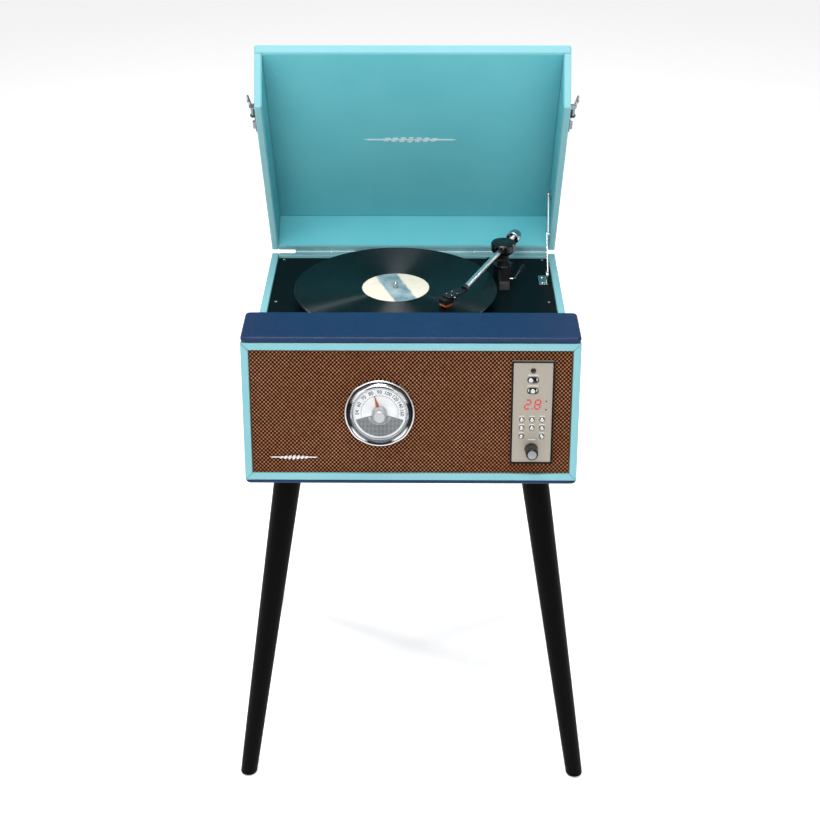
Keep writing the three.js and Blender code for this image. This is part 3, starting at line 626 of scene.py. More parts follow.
BLACK = plastic("black_moulding", (9, 12, 13))
GLOSS_BLACK = plastic("gloss_black_moulding", (6, 8, 9), 0.2, 900, 0.00002)
BLOCK_GREY = plastic("dark_grey_moulding", (62, 62, 63), 0.5)
DECK = finish("deck_satin_black", ((0, 9, 12), (1, 14, 18)), (1900, 2), (0.42, 0.55), (0.00006, 0.5),
              (30, 4), 0, 1, Specular_IOR_Level=0.08)  # sprayed, near black with a teal cast
LACQUER = finish("satin_black_lacquer", ((2, 2, 2), (6, 6, 6)), (60, 5, 0.62, (9, 9, 0.6)), (0.42, 0.55),
                 (0.00008, 0.4), low=0.35, Specular_IOR_Level=0.04)  # long faint grain under satin black
GRILLE = grille_weave(WEAVE_ACROSS * MM, WEAVE_UP * MM)
RECORD_LOOK = record_vinyl()
LABEL = label_paper()
DIAL_SILVER = dial_silver()
LATTICE = crosshatch(0.0036)
CHAMPAGNE = finish("champagne_anodised", ((152, 145, 134), (164, 157, 146)), (500, 4, 0.6, (9, 1, 1)),
                   (0.36, 0.46), (0.00002, 0.4), Metallic=0.3, Specular_IOR_Level=0.5)  # fine vertical grain
RED_GLOW = glow("red_display", (190, 36, 34), 0.36)
# the blue-green tint is a painted reflection of the light blue vinyl round the hinge
HINGE_METAL = coloured("hinge_metal_with_painted_blue_reflection", (134, 176, 182), (164, 198, 202), 0.42, Metallic=0.4)
EDGING = coloured("black_edging", (2, 2, 3), (7, 7, 8), 0.6, Specular_IOR_Level=0.15)
ORANGE = coloured("orange_brown_enamel", (150, 66, 28), (176, 86, 40), 0.42)
STYLUS_ORANGE = coloured("orange_stylus_body", (176, 84, 38), (196, 100, 50), 0.4, 500)
INK = coloured("grey_print", (58, 64, 68), (78, 84, 88), 0.5)
WHITE_INK = coloured("white_print", (226, 228, 226), (238, 240, 238), 0.5)
# the lid badge's pale tone is a painted reflection, put in place of its plating's shine
EMBLEM_PALE = coloured("pale_silver_painted_reflection", (196, 222, 224), (214, 234, 235), 0.4)
BOARD = coloured("fibreboard", (128, 98, 66), (150, 118, 82), 0.8, 300)
PCB = coloured("board_green", (20, 84, 48), (28, 104, 60), 0.45, 400)
RUBBER = coloured("black_rubber", (14, 14, 14), (24, 24, 24), 0.75, 900)
PALE_GLIDE = coloured("pale_glide", (176, 176, 172), (200, 200, 196), 0.5, 800)

# ---- cabinet
HALF_WIDTH, FACE_LENGTH, RAIL = 225, 195.7, 10

refined("side_wall_left", "wrapped_side_left", VINYL_BLUE, 1.5)
refined("side_wall_right", "wrapped_side_right", VINYL_BLUE, 1.5)
refined("rear_panel", "wrapped_rear_panel", VINYL_BLUE, 1.0)
refined("bottom_board", "wrapped_bottom_board", VINYL_NAVY, 1.8)
refined("front_top_board", "wrapped_top_board", VINYL_NAVY, 3.4, 5)
refined("slope_panel", "slope_lining", DECK, 0.8)
refined("deck_plate", "deck_top", DECK, 0.9)


def front_rails():
    """Four wrapped rails with mitred corners round the cloth."""
    shape = Shape(FRONT)
    w, h, seam, lift = HALF_WIDTH, FACE_LENGTH, 0.12, 0.4
    in_w, in_h = w - RAIL, h - RAIL
    bottom = [(-w + seam, lift), (w - seam, lift), (in_w - seam, RAIL), (-in_w + seam, RAIL)]
    right = [(w, lift), (w, h - seam), (in_w, in_h - seam), (in_w, RAIL + seam)]
    top = [(w - seam, h), (-w + seam, h), (-in_w + seam, in_h), (in_w - seam, in_h)]
    left = [(-w, h - seam), (-w, lift), (-in_w, RAIL + seam), (-in_w, in_h - seam)]
    for rail, back in ((bottom, -9.5), (right, -12), (top, -12), (left, -12)):
        shape.prism(rail, back, 0, 1.3, 4)
    shape.stand("wrapped_front_rails", VINYL_BLUE, "front_frame", 40)


def woven_cloth():
    """Grille cloth: bundles crossing over and under, cut out behind the dial and the control panel."""
    half_wide, low, high = 214.6, 10.4, 185.6
    wide, tall = 2 * half_wide, high - low
    columns, rows = round(wide / (WEAVE_ACROSS / 4)), round(tall / (WEAVE_UP / 4))
    bm = bmesh.new()
    grid = []
    for j in range(rows + 1):
        z = low + j * tall / rows
        grid.append([])
        for i in range(columns + 1):
            x = -half_wide + i * wide / columns
            lift = cos(2 * pi * x / WEAVE_ACROSS) * cos(2 * pi * z / WEAVE_UP)
            grid[j].append(bm.verts.new(Vector((x, 3.75 - 0.24 * lift, z)) * MM))
    for j in range(rows):
        for i in range(columns):
            middle = (grid[j][i].co + grid[j + 1][i + 1].co) / 2 / MM
            behind_dial = hypot(middle.x - DIAL_ACROSS, middle.z - DIAL_UP) < 39
            behind_panel = abs(middle.x - PANEL_ACROSS) < 25 and abs(middle.z - PANEL_UP) < 69
            if not behind_dial and not behind_panel:
                bm.faces.new((grid[j][i], grid[j][i + 1], grid[j + 1][i + 1], grid[j + 1][i]))
    bmesh.ops.delete(bm, geom=[v for v in bm.verts if not v.link_faces], context="VERTS")
    bmesh.ops.recalc_face_normals(bm, faces=bm.faces)
    flat_area = sum(f.calc_area() for f in bm.faces)
    bmesh.ops.solidify(bm, geom=bm.faces[:], thickness=0.5 * MM)
    obj = mesh_object("woven_grille_cloth", bm, 75)
    obj.matrix_world = FACE
    stand_in(obj, GRILLE, "grille_cloth")
    wide, tall = wide * MM, tall * MM


def emblem(half_long, tall, deep, place):
    """A plain bar crossed by seven leaning strokes, with no lettering."""
    shape = Shape(place)
    point, edge = half_long * 0.9, tall * 0.16
    bar = [(-half_long, 0), (-point, -edge), (point, -edge), (half_long, 0), (point, edge), (-point, edge)]
    shape.prism(bar, 0, deep * 0.6, deep * 0.18)
    half, lean = half_long * 0.05, tall * 0.175
    for k in range(-3, 4):
        x, reach = k * half_long * 0.17, tall * (0.62 - 0.09 * abs(k))
        stroke = [(x - half - lean, -reach), (x + half - lean, -reach), (x + half + lean, reach),
                  (x - half + lean, reach)]
        shape.prism(stroke, 0, deep, deep * 0.22)
    return shape


front_rails()
woven_cloth()
emblem(33, 5.2, 1.8, FRONT @ shift(-158, 33, -3.4)).show("front_emblem_bar", CHROME, "chrome")

# ---- dial
FACE_R = 36.2
TOP_OF_FACE = 1
INK_TOP = TOP_OF_FACE + 0.06


def bezel_lugs(a, r, z):
    """Swells the bezel on its diagonals, towards its outer edge."""
    off = a % (pi / 2) - pi / 4
    return 0.8 * exp(-((off / 0.17) ** 4)) * min(1.0, max(0.0, (r - 40) / 5))


def dial_scale():
    shape = Shape()
    for inner, outer in ((24.6, 25.0), (35.0, 35.3)):
        shape.band(inner, outer, -104, 104, TOP_OF_FACE, INK_TOP, 72)
    for k in range(-50, 51):
        inner, half = (33.8, 0.2) if k % 5 == 0 else (34.4, 0.11)
        angle = turn(90 - 2 * k)
        shape.box((inner, -half, TOP_OF_FACE), (35.0, half, INK_TOP), at=angle)
        if k % 5 == 0 and abs(k) < 46:
            shape.box((25.0, -0.18, TOP_OF_FACE), (27.0, 0.18, INK_TOP), at=angle)
    shape.show("dial_scale_marks", INK, "dial_silver", own=DIAL)


def dial_numbers():
    """Plain numbers lying on the dial, each turned to face out from its middle."""
    bm = bmesh.new()
    for k, text in enumerate(("54", "60", "70", "80", "90", "100", "120", "140", "160")):
        a = radians(-88 + 22 * k)
        curve = bpy.data.curves.new("numeral_outline", "FONT")
        curve.body, curve.size, curve.align_x, curve.align_y = text, 7.0 * MM, "CENTER", "CENTER"
        curve.extrude, curve.offset, curve.resolution_u = 0.03 * MM, 0.13 * MM, 3
        source = bpy.data.objects.new("numeral_source", curve)
        bpy.context.scene.collection.objects.link(source)
        bpy.context.view_layer.update()
        mesh = bpy.data.meshes.new_from_object(source.evaluated_get(bpy.context.evaluated_depsgraph_get()))
        place = shift(30.0 * sin(a), 30.0 * cos(a), TOP_OF_FACE + 0.03)
        mesh.transform(place @ Matrix.Rotation(-a, 4, "Z"))
        bm.from_mesh(mesh)
        bpy.data.objects.remove(source)
        bpy.data.curves.remove(curve)
        bpy.data.meshes.remove(mesh)
    bmesh.ops.remove_doubles(bm, verts=bm.verts, dist=1e-7)
    obj = mesh_object("dial_numbers", bm, 30)
    obj.matrix_world = DIAL
    settle(obj, INK, "cabinet")


def pointer():
    """Teardrop pointer on a hub that turns about the knob's shaft, at its rest angle."""
    shape = Shape(DIAL @ turn(15))
    shape.turned([(3.5, 1.4), (5.5, 1.4), (5.5, 2.2), (5.3, 2.4), (3.5, 2.4)], 40)
    right = [(1.2, 5.1), (1.7, 8.5), (2.35, 11.6), (2.0, 14), (1.25, 17.5), (0.7, 21.5), (0.4, 25.6)]
    shape.prism(mirrored(right), 1.45, 2.6, 0.3, 3)
    shape.stand("orange_pointer", ORANGE, "dial_pointer")


def tuning_ribs(a, r, z):
    return 0.1 * cos(36 * a) if 8.0 < r < 9.5 and 8 < z < 15.6 else 0.0


bezel = [(36.6, -3.2), (46.4, -3.2), (46.9, -2.6), (47.0, 1.2), (46.8, 2.0), (46.3, 2.4), (45.2, 2.4),
         (44.9, 2.6), (44.6, 3.6), (44.1, 5.2), (43.2, 7.0), (41.9, 8.3), (40.8, 8.9), (39.8, 9.0),
         (39.1, 8.6), (38.7, 7.8), (38.5, 6.9), (38.0, 6.3), (37.3, 4.6), (36.6, 2.6)]
Shape().turned(bezel, 160, wave=bezel_lugs).stand("chrome_dial_ring", BEZEL, "dial_bezel", 50, DIAL)
disc = [(0, -1), (FACE_R - 0.3, -1), (FACE_R, -0.7), (FACE_R, 0.7), (FACE_R - 0.3, 1), (0, 1)]
Shape().turned(disc, 96).stand("dial_disc", DIAL_SILVER, "dial_face", own=DIAL)
dial_scale()
dial_numbers()
Shape().band(10.5, 33.6, 106, 254, TOP_OF_FACE, TOP_OF_FACE + 0.3, 60).show(
    "dial_lattice_insert", LATTICE, "dial_silver", own=DIAL)
hoops = Shape()
for radius, half in ((12.6, 0.18), (14.4, 0.18), (16.2, 0.18), (33.3, 0.3)):
    hoops.band(radius - half, radius + half, 106, 254, TOP_OF_FACE + 0.3, TOP_OF_FACE + 0.55)
hoops.show("dial_lattice_hoops", DIAL_SILVER, "dial_silver", own=DIAL)
pointer()
knob = [(0, -12), (2.9, -12), (2.9, 2.8), (9.7, 2.8), (10.2, 3.3), (10.2, 5.2), (9.9, 6.2), (9.3, 8.0),
        (8.7, 10.4), (8.3, 13), (8.1, 15.4), (7.8, 16.2), (7.2, 16.8), (6.6, 16.9), (6.3, 16.6), (0, 16.5)]
Shape(DIAL).turned(knob, 144, wave=tuning_ribs).stand("spun_tuning_knob", KNOB_SILVER, "tuning_knob")

# ---- control panel
PLATE_TOP = 0.6
UPPER_SWITCH, LOWER_SWITCH = 145.6, 130.4
VOLUME_UP = 47


def panel_point(x, up, z=PLATE_TOP):
    return PANEL @ shift(x, up, z)


def switches():
    """Two slide switches: sunk wells with a slot and a black ring of painted shadow round the mouth, low end
    stops, and caps on stems through the slots.
    """
    wells, stops, end_stop = Shape(), Shape(), rounded_rect(1.5, 4.2, 0.7, 4)
    for node, name, up, rest in (("mode_switch_upper", "slide_cap_upper", UPPER_SWITCH, -3.0),
                                 ("mode_switch_lower", "slide_cap_lower", LOWER_SWITCH, 0.0)):
        place = panel_point(0, up)
        # gloss black ring round the well's mouth: a painted shadow
        wells.ring_prism(rounded_rect(15.4, 8.8, 4.3, 8), rounded_rect(13.4, 6.8, 3.3, 8), -0.5, 0.5, place)
        wells.ring_prism(rounded_rect(13.2, 6.6, 3.2, 8), rounded_rect(8.8, 2.8, 1.3, 8), -2.6, -1.8, place)
        cap = Shape(panel_point(rest, up)).prism(rounded_rect(6.3, 5.9, 2.6, 8), -1.6, 2.4, 0.7, 4)
        cap.prism(rounded_rect(2.2, 2.2, 0.8, 4), -6, -1.2)
        for x in (-1.3, 0, 1.3):
            cap.bar(0.28, -1.9, 1.9, 2.2, 2.9, 0.12, at=shift(x))
        cap.stand(name, CHROME, node)
    wells.show("switch_wells_and_painted_shadow_rims", GLOSS_BLACK, "black_plastic")
    for x, up in ((5.5, UPPER_SWITCH), (-5.5, LOWER_SWITCH), (5.5, LOWER_SWITCH)):
        stops.prism(end_stop, -1.9, -1.72, at=panel_point(x, up))
    stops.show("switch_end_stops", CHROME, "chrome")


def keys():
    """Eight domed keys in three rows. Plain lines above the keys, switches and knob stand for captions."""
    rows, columns = (89.2, 77.3, 65.4), (-13.6, 0.0, 13.6)
    places = [(x, up) for up in rows for x in columns if not (up == rows[2] and x == 0)]
    dome = [(3.05 * sin(pi * k / 14), 0.9 + 1.6 * cos(pi * k / 14)) for k in range(7, 0, -1)]
    lines = Shape()
    for number, (x, up) in enumerate(places, 1):
        cap = Shape(panel_point(x, up, 0)).turned([(0, -7.0), (3.05, -7.0)] + dome + [(0, 2.5)], 40)
        cap.stand(f"domed_key_{number}", NICKEL, f"push_button_{number}", 60)
        lines.bar(3.4, 4.9, 5.5, 0, 0.06, at=panel_point(x, up))
    for half, up in ((7, 152.2), (7, 137.2), (5, 60.4)):
        lines.bar(half, 0, 0.7, 0, 0.06, at=panel_point(0, up))
    lines.show("white_guide_lines", WHITE_INK, "panel_champagne")


def seven_segment(shape, segments, height, at):
    """A leaning digit made of separate bars."""
    h, w, t = height / 2, height * 0.27, height * 0.075
    spans = {"a": ((-w, h), (w, h)), "g": ((-w, 0), (w, 0)), "d": ((-w, -h), (w, -h)),
             "f": ((-w, h), (-w, 0)), "b": ((w, h), (w, 0)), "e": ((-w, 0), (-w, -h)), "c": ((w, 0), (w, -h))}
    lean = tan(radians(7))
    for key in segments:
        a, b = (Vector(p) for p in spans[key])
        run = (b - a).normalized() * t
        side = Vector((-run.y, run.x))
        a, b = a + run * 0.45, b - run * 0.45
        near, far = a + run * 0.8, b - run * 0.8
        outline = [a, near - side, far - side, b, far + side, near + side]
        shape.prism([(p.x + p.y * lean, p.y) for p in outline], 0, 0.12, at=at)


def display():
    digits = Shape()
    seven_segment(digits, "abged", 12.8, panel_point(-6.2, 111))
    seven_segment(digits, "abcdefg", 12.8, panel_point(7.0, 111))
    digits.prism(rounded_rect(1.7, 1.7, 0.3), 0, 0.12, at=panel_point(-0.4, 105))
    digits.show("red_display_digits", RED_GLOW, "panel_champagne")
    lamps = Shape()
    for up in (115.5, 103.7):
        lamps.turned([(0, -0.3), (1.0, -0.3), (1.0, 0.2), (0.6, 0.45), (0, 0.55)], 20, panel_point(18.2, up))
    lamps.show("status_lamps", GLOSS_BLACK, "black_plastic")


def volume_flutes(a, r, z):
    return -0.95 * (0.5 + 0.5 * cos(15 * a)) ** 2 if r > 6.6 and 2.2 < z < 21.7 else 0.0


def volume_cap():
    """Tapered knob with deep flutes and a brushed end."""
    profile = [(0, -9), (3, -9), (3, 1), (8.6, 1), (9.1, 1.5), (9.1, 2.4), (8.9, 3), (8.8, 8), (8.6, 14),
               (8.45, 19), (8.3, 20.6), (8.0, 21.6), (7.3, 22.5), (6.6, 22.9), (5.6, 22.8), (5.2, 22.3),
               (0, 22.0)]
    place = PANEL @ shift(0, VOLUME_UP)
    cap = Shape(place).turned(profile, 160, wave=volume_flutes)
    cap.stand("fluted_volume_knob", DARK_CHROME, "volume_knob")
    end = Shape(place).turned([(0, 21.8), (6.2, 21.8), (6.2, 22.6), (5.8, 22.85), (0, 23.0)])
    end.show("volume_knob_end", STEEL, "black_plastic", "volume")


paint("control_plate", CHAMPAGNE)
Shape(PANEL @ shift(0, PANEL_UP)).ring_prism(
    rounded_rect(56.5, 145.6, 1.6), rounded_rect(52.3, 141.4, 1.0), -3, 1.3).show(
    "control_panel_surround", EDGING, "black_plastic")
socket = [(1.8, -2), (3.0, -2), (3.6, 0), (3.6, 0.5), (3.2, 1.0), (2.4, 1.0), (1.8, 0.6)]
Shape(panel_point(0, 158.7)).turned(socket, 40).show(
    "headphone_socket_ring", GLOSS_BLACK, "black_plastic")
switches()
keys()
display()
volume_cap()


# ---- platter and record
def platter():
    """A casting with a rib and a rim under it, its grooved rubber mat, and the spindle."""
    top, foot, low = RECORD_LOW - 1.4, DECK_Z + 4, box_of("platter")[0].z
    under = top - 3.4
    casting = [(0, low), (3.6, low), (3.6, under), (56, under), (56, foot), (60, foot), (60, under),
               (133, under), (133, foot), (139, foot), (140, foot + 1.2), (140, top - 1.2), (139, top),
               (0, top)]
    Shape(DISC).turned(casting, 240).stand("platter_casting", GLOSS_BLACK, "platter")
    mat = [(4.2, -1.3), (135.5, -1.3), (136, -0.9), (136, -0.35), (135.5, -0.1)]
    for k in range(9):
        edge = 130 - 9 * k
        mat += [(edge, -0.1), (edge - 1.2, -0.45), (edge - 2.4, -0.1)]
    mat = Shape(DISC @ shift(z=RECORD_LOW)).turned(mat + [(4.2, -0.1)], 120)
    mat.show("platter_mat", RUBBER, "platter_black", "turntable")
    pin = [(0, -1.0), (3.4, -1.0), (3.4, 6.2), (3.1, 6.9), (2.4, 8.4), (1.4, 9.3), (0, 9.6)]
    pin = Shape(DISC @ shift(z=PLAY_Z)).turned(pin, 40)
    pin.show("centre_spindle", NICKEL, "platter_black", "turntable")


def pressed_record():
    """Raised edge bead, grooved bands parted by smooth gaps, run-out, raised seat and its paper label."""
    profile = [(3.7, -1.5), (150.4, -1.5), (150.9, -1.1), (151.0, -0.75), (150.9, -0.35), (150.3, -0.02),
               (148.6, -0.06), (147.4, -0.22)]
    bands, gap, waves = (147.0, 131.0, 115.5, 103.0, 88.5, 73.0, 62.5), 0.6, 6
    for outer, inner in zip(bands, bands[1:]):
        profile += [(outer, -0.26), (outer - gap, -0.15)]
        for k in range(1, waves):
            r = outer - gap + (inner - outer + 2 * gap) * k / waves
            profile += [(r + 0.3, -0.14), (r, -0.17)]
        profile += [(inner + gap, -0.15)]
    profile += [(62.0, -0.26), (55.5, -0.26), (54.6, -0.08), (53.6, -0.08), (52.6, -0.2), (50.6, -0.2),
                (50.2, -0.06), (3.7, -0.06)]
    place = DISC @ shift(z=PLAY_Z)
    Shape(place).turned(profile, 180).stand("pressed_record", RECORD_LOOK, "record", 50)
    label = [(3.75, -0.06), (49.7, -0.06), (49.9, 0.0), (49.6, 0.06), (37, 0.06), (36.4, -0.02), (35.8, 0.06),
             (3.75, 0.06)]
    Shape(place).turned(label, 120).show("record_label", LABEL, "record_vinyl", "turntable")


platter()
pressed_record()
screws("deck_screws", LATCH_METAL, [(x, y, DECK_Z) for x in (-204, 204) for y in (43, 200)], Z, 2.7)


# ---- tonearm
def pedestal():
    """The arm's base with its front plate and collar, the housing on it, its cap and two screws."""
    refined("tonearm_base", "tonearm_pedestal", BLACK, 0.6)
    refined("tonearm_gimbal", "tonearm_housing", GLOSS_BLACK, 1.1, 3, 12)
    low, _ = box_of("tonearm_base")
    plate = Shape(shift(ARM_PIVOT.x)).bar(7.6, low.y - 0.5, low.y + 0.4, low.z + 0.8, low.z + 13.2, 0.2, 2)
    plate.show("pedestal_front_plate", BLOCK_GREY, "black_plastic")
    collar = [(9.2, 14.2), (14.4, 14.2), (14.8, 14.8), (14.8, 17.4), (14.0, 18.2), (9.2, 18.2)]
    Shape(shift(ARM_PIVOT.x, ARM_PIVOT.y, DECK_Z)).turned(collar).show(
        "pedestal_collar", GLOSS_BLACK, "black_plastic")
    cap = Shape(ARM).turned([(0, 9.9), (13.2, 9.9), (13.6, 10.2), (12.6, 10.6), (0, 10.6)], 12)
    cap.show("housing_cap", BLACK, "black_plastic", "arm_bearing", 20)
    heads = Shape(ARM)
    for side in (-6, 6):
        out = Vector((side, -15, 0)).normalized()
        heads.screw(out * 18.9 + Z * 5.4, out, 1.5)
    heads.show("housing_screws", BRONZE, "brushed_metal", "arm_bearing")


def cue_controls():
    """The lift bar, the turned grip that raises it, and the stub that the grip turns on."""
    refined("cue_lift_bar", "lift_bar_shaped", BLACK, 0.4)
    place = shift(*joint_at("cue_lever_turn"))
    grip = [(0, 0), (1.7, 0), (1.8, 7), (2.6, 12), (2.75, 16), (2.75, 27), (2.4, 29.4), (1.4, 30.2),
            (0, 30.4)]
    lever = Shape(place).turned(grip, 28, shift(2) @ aim((14, 21, 13)))
    lever.rod((0, 0, 0), (4, 0, 0), 3, 28)
    lever.stand("cue_lever_grip", GLOSS_BLACK, "cue_lever")
    stub = Shape(place).rod((-5.4, 0, 0), (-0.4, 0, 0), 1.5)
    stub.show("cue_lever_stub", NICKEL, "black_plastic")


def knurl(a, r, z):
    return -0.25 * (0.5 + 0.5 * cos(26 * a)) if r > 5.0 else 0.0


def arm_tube():
    """Straight tube with its knurled collar and counterweight."""
    tube = Shape(TUBE).turned([(0, -36), (3.4, -36), (4.0, -35.4), (4.0, 146), (0, 146)])
    tube.stand("straight_arm_tube", TUBE_METAL, "tonearm_tube", 50)
    collar = [(0, 146.05), (4.6, 146.05), (5.3, 146.6), (5.4, 147.5), (5.4, 151.5), (5.2, 152.4),
              (4.4, 153.0), (0, 153.0)]
    Shape(TUBE).turned(collar, 104, wave=knurl).show("headshell_collar", GLOSS_BLACK, "black_plastic", "arm")
    weight = [(0, -52.6), (6.2, -52.8), (6.6, -53.3), (8.4, -53.2), (9.0, -52.4), (9.0, -50.4), (9.2, -49.3),
              (10.0, -48.6), (10.5, -47.6), (10.5, -43.3), (10.1, -42.8), (10.1, -42.0), (10.5, -41.5),
              (10.4, -37.8), (9.6, -37.0), (8.9, -36.4), (0, -36.4)]
    Shape(TUBE).turned(weight, 64).stand("chromed_counterweight", CHROME, "counterweight", 45)


def headshell():
    """Carrier plate with slots and screws, cartridge under it, stylus block and finger lift."""
    carrier = Shape(SHELL)
    right = [(4.6, -1.5), (5.2, 3), (8.6, 13), (9, 16), (9, 33.5), (8, 36.6), (6.4, 38)]
    carrier.prism([(x, -y) for x, y in reversed(mirrored(right))], -3.2, 0.3, 0.5, 3)
    for x in (-5.4, 5.4):
        carrier.bar(0.9, -33, -17, 0.3, 0.75, 0.3, 2, shift(x))
    carrier.bar(1.2, -15, -4, 0.3, 0.9, 0.4, 2)
    carrier.bar(7.2, -44.3, -26.6, -11.3, -3.0, 0.9, 3)
    carrier.bar(6.0, -28, -20.5, -8.6, -3.0, 0.7, 3)
    carrier.stand("headshell_carrier", BLACK, "headshell")
    lift = [(8.2, -29, -1.4), (10.5, -29.6, -1.2), (12.6, -30.4, -0.6), (14.2, -31.6, 0.6),
            (15.4, -33.4, 2.0)]
    Shape(SHELL).sweep(soften(lift, 1.0), 0.75).show("finger_lift", NICKEL, "chrome", "arm")
    heads = [(x, y, 0.7) for x in (-5.4, 5.4) for y in (-19.5, -30.5)]
    screws("cartridge_screws", NICKEL, heads, Z, 1.05, "arm", SHELL)
    side = [(-43.6, -11.2), (-44.2, -13.4), (-42.0, -15.6), (-33.0, -15.7), (-28.0, -13.6), (-27.4, -11.2)]
    holder = Shape(SHELL @ SIDEWAYS).prism(side, -6.2, 6.2, 0.5, 3)
    holder.show("stylus_holder", STYLUS_ORANGE, "black_plastic", "arm")
    tip_z = PLAY_Z + 0.25 - SHELL.translation.z / MM
    cantilever = Shape(SHELL).rod((0, -38.5, -15.0), (0, -41.5, tip_z), 0.45, 12, 0.14)
    cantilever.show("stylus_cantilever", NICKEL, "chrome", "arm")


pedestal()
cue_controls()
arm_tube()
headshell()

# ---- lid, hinge, stay and latches
refined("lid_panel", "wrapped_lid_top", VINYL_BLUE, 2.2, 4)
refined("lid_side_left", "wrapped_lid_side_left", VINYL_BLUE, 1.3)
refined("lid_side_right", "wrapped_lid_side_right", VINYL_BLUE, 1.3)
refined("lid_rear_wall", "wrapped_lid_rear_wall", VINYL_BLUE, 1.0)
refined("hinge_leaf_lower", "long_hinge_lower", HINGE_METAL, 0.12, 1, 50)
refined("hinge_leaf_upper", "long_hinge_upper", HINGE_METAL, 0.12, 1, 50)
screws("hinge_screws", NICKEL, [(-163 + 50 * k, -7.2, 0.85) for k in range(8)], Z, 1.7, "lid", LID)

UNDER = 63.8  # the inner face of the lid's top


def lid_lining():
    """A thin lining on the lid's inner faces; its edges show as a fine seam round the mouth."""
    front_edge, rim_front, rear, side, skirt = -366.0, -324.5, -13.2, 214.7, 2.5
    lining = Shape(LID).bar(side - 0.9, front_edge, rear, UNDER - 0.8, UNDER - 0.1, 0.3, 2)
    lining.bar(side - 0.9, rear + 0.1, rear + 0.8, skirt, UNDER - 0.9, 0.3, 2)
    outline = [(rim_front, skirt), (front_edge, UNDER - 0.9), (rear, UNDER - 0.9), (rear, skirt)]
    for sign in (-1, 1):
        near, far = sorted((sign * (side + 0.25), sign * (side - 0.5)))
        lining.prism(outline, near, far, 0.2, 2, SIDEWAYS)
    lining.show("lid_lining", LINING, "vinyl_blue", "lid")


def stay():
    """The folding stay's brackets and links, with the screws and rivets that hold them."""
    for node, name in (("stay_lower_bracket", "stay_foot_bracket"), ("stay_lower_link", "stay_lower_strip"),
                       ("stay_upper_bracket", "stay_head_bracket"), ("stay_upper_link", "stay_upper_strip")):
        refined(node, name, NICKEL, 0.3, 2)
    low, high = box_of("stay_lower_bracket")
    feet = [(low.x * 0.62 + high.x * 0.38, y, DECK_Z + 1.9) for y in (low.y + 6.5, high.y - 6.5)]
    screws("stay_foot_screws", CHROME, feet, Z, 2.6)
    for half, radius in (("lower", 3.2), ("upper", 3.0)):
        pivot = joint_at(f"stay_{half}_pivot")
        pivot.x = box_of(f"stay_{half}_link")[0].x
        screws(f"stay_{half}_rivet", CHROME, [pivot], -X, radius, f"stay_{half}")


def latch(side, sign):
    """A draw latch on the lid's side, and its keeper on the cabinet."""
    refined(f"latch_base_{side}", f"latch_plate_{side}", LATCH_METAL, 0.3, 2)
    refined(f"latch_lever_{side}", f"latch_handle_{side}", LATCH_METAL, 0.35, 2)
    rivets = [(sign * 226.75, -283.3 + y, 6.5) for y in (-8.5, 8.5)]
    screws(f"latch_rivets_{side}", NICKEL, rivets, X * sign, 1.7, "lid", LID)
    y, rim = -64, DECK_Z + 4
    near, far = sorted((sign * 224.9, sign * 226.3))
    keeper = Shape().box((near, y - 11, rim - 27), (far, y + 11, rim - 3), 0.4)
    hook = [(sign * x, y, rim - drop) for x, drop in ((226.2, 20), (228.6, 20), (230.4, 21), (230.8, 24))]
    keeper.sweep(soften(hook, 1.5), 1.6)
    for dy in (-7.5, 7.5):
        keeper.screw((sign * 226.25, y + dy, rim - 7.5), X * sign, 1.6)
    keeper.show(f"latch_keeper_{side}", LATCH_METAL, "chrome")


lid_lining()
lid_emblem = LID @ shift(-4, -191, UNDER - 0.75) @ turn(180, "X")
emblem(70, 9, 0.9, lid_emblem).show("lid_emblem_bar", EMBLEM_PALE, "chrome", "lid")
stay()
latch("left", -1)
latch("right", 1)


# ---- rear
def rear():
    refined("rear_jack_plate", "rear_socket_plate", BLACK, 0.5, 2)
    low, high = box_of("rear_jack_plate")
    middle_z = (low.z + high.z) / 2
    socket_ring = [(1.6, -2), (4.2, -2), (4.2, 0.9), (3.9, 1.2), (2.6, 1.2), (1.6, 0.2)]
    rings = Shape()
    for x in (-33, -15):
        rings.turned(socket_ring, 32, shift(x, high.y - 0.3, middle_z) @ turn(-90, "X"))
    rings.show("phono_socket_rings", NICKEL, "chrome")
    heads = Shape()
    for x in (low.x + 5, high.x - 5):
        heads.screw((x, high.y - 0.02, middle_z), Y, 1.9)
    low, high = box_of("rear_panel")
    for x in (-200, -100, 0, 100, 200):
        for z in (low.z + 8, high.z - 26):
            heads.screw((x, high.y, z), Y, 2.3)
    heads.show("rear_screws", NICKEL, "chrome")


rear()

# ---- legs
LEG_TOP, FOOT, MID_Y = Vector((169, 162)), Vector((250.5, 222)), -25
LEG_TOP_R, LEG_FOOT_R = 19.9, 12.7
GLIDE = 3.5
BOARD_LOW = box_of("bottom_board")[0].z


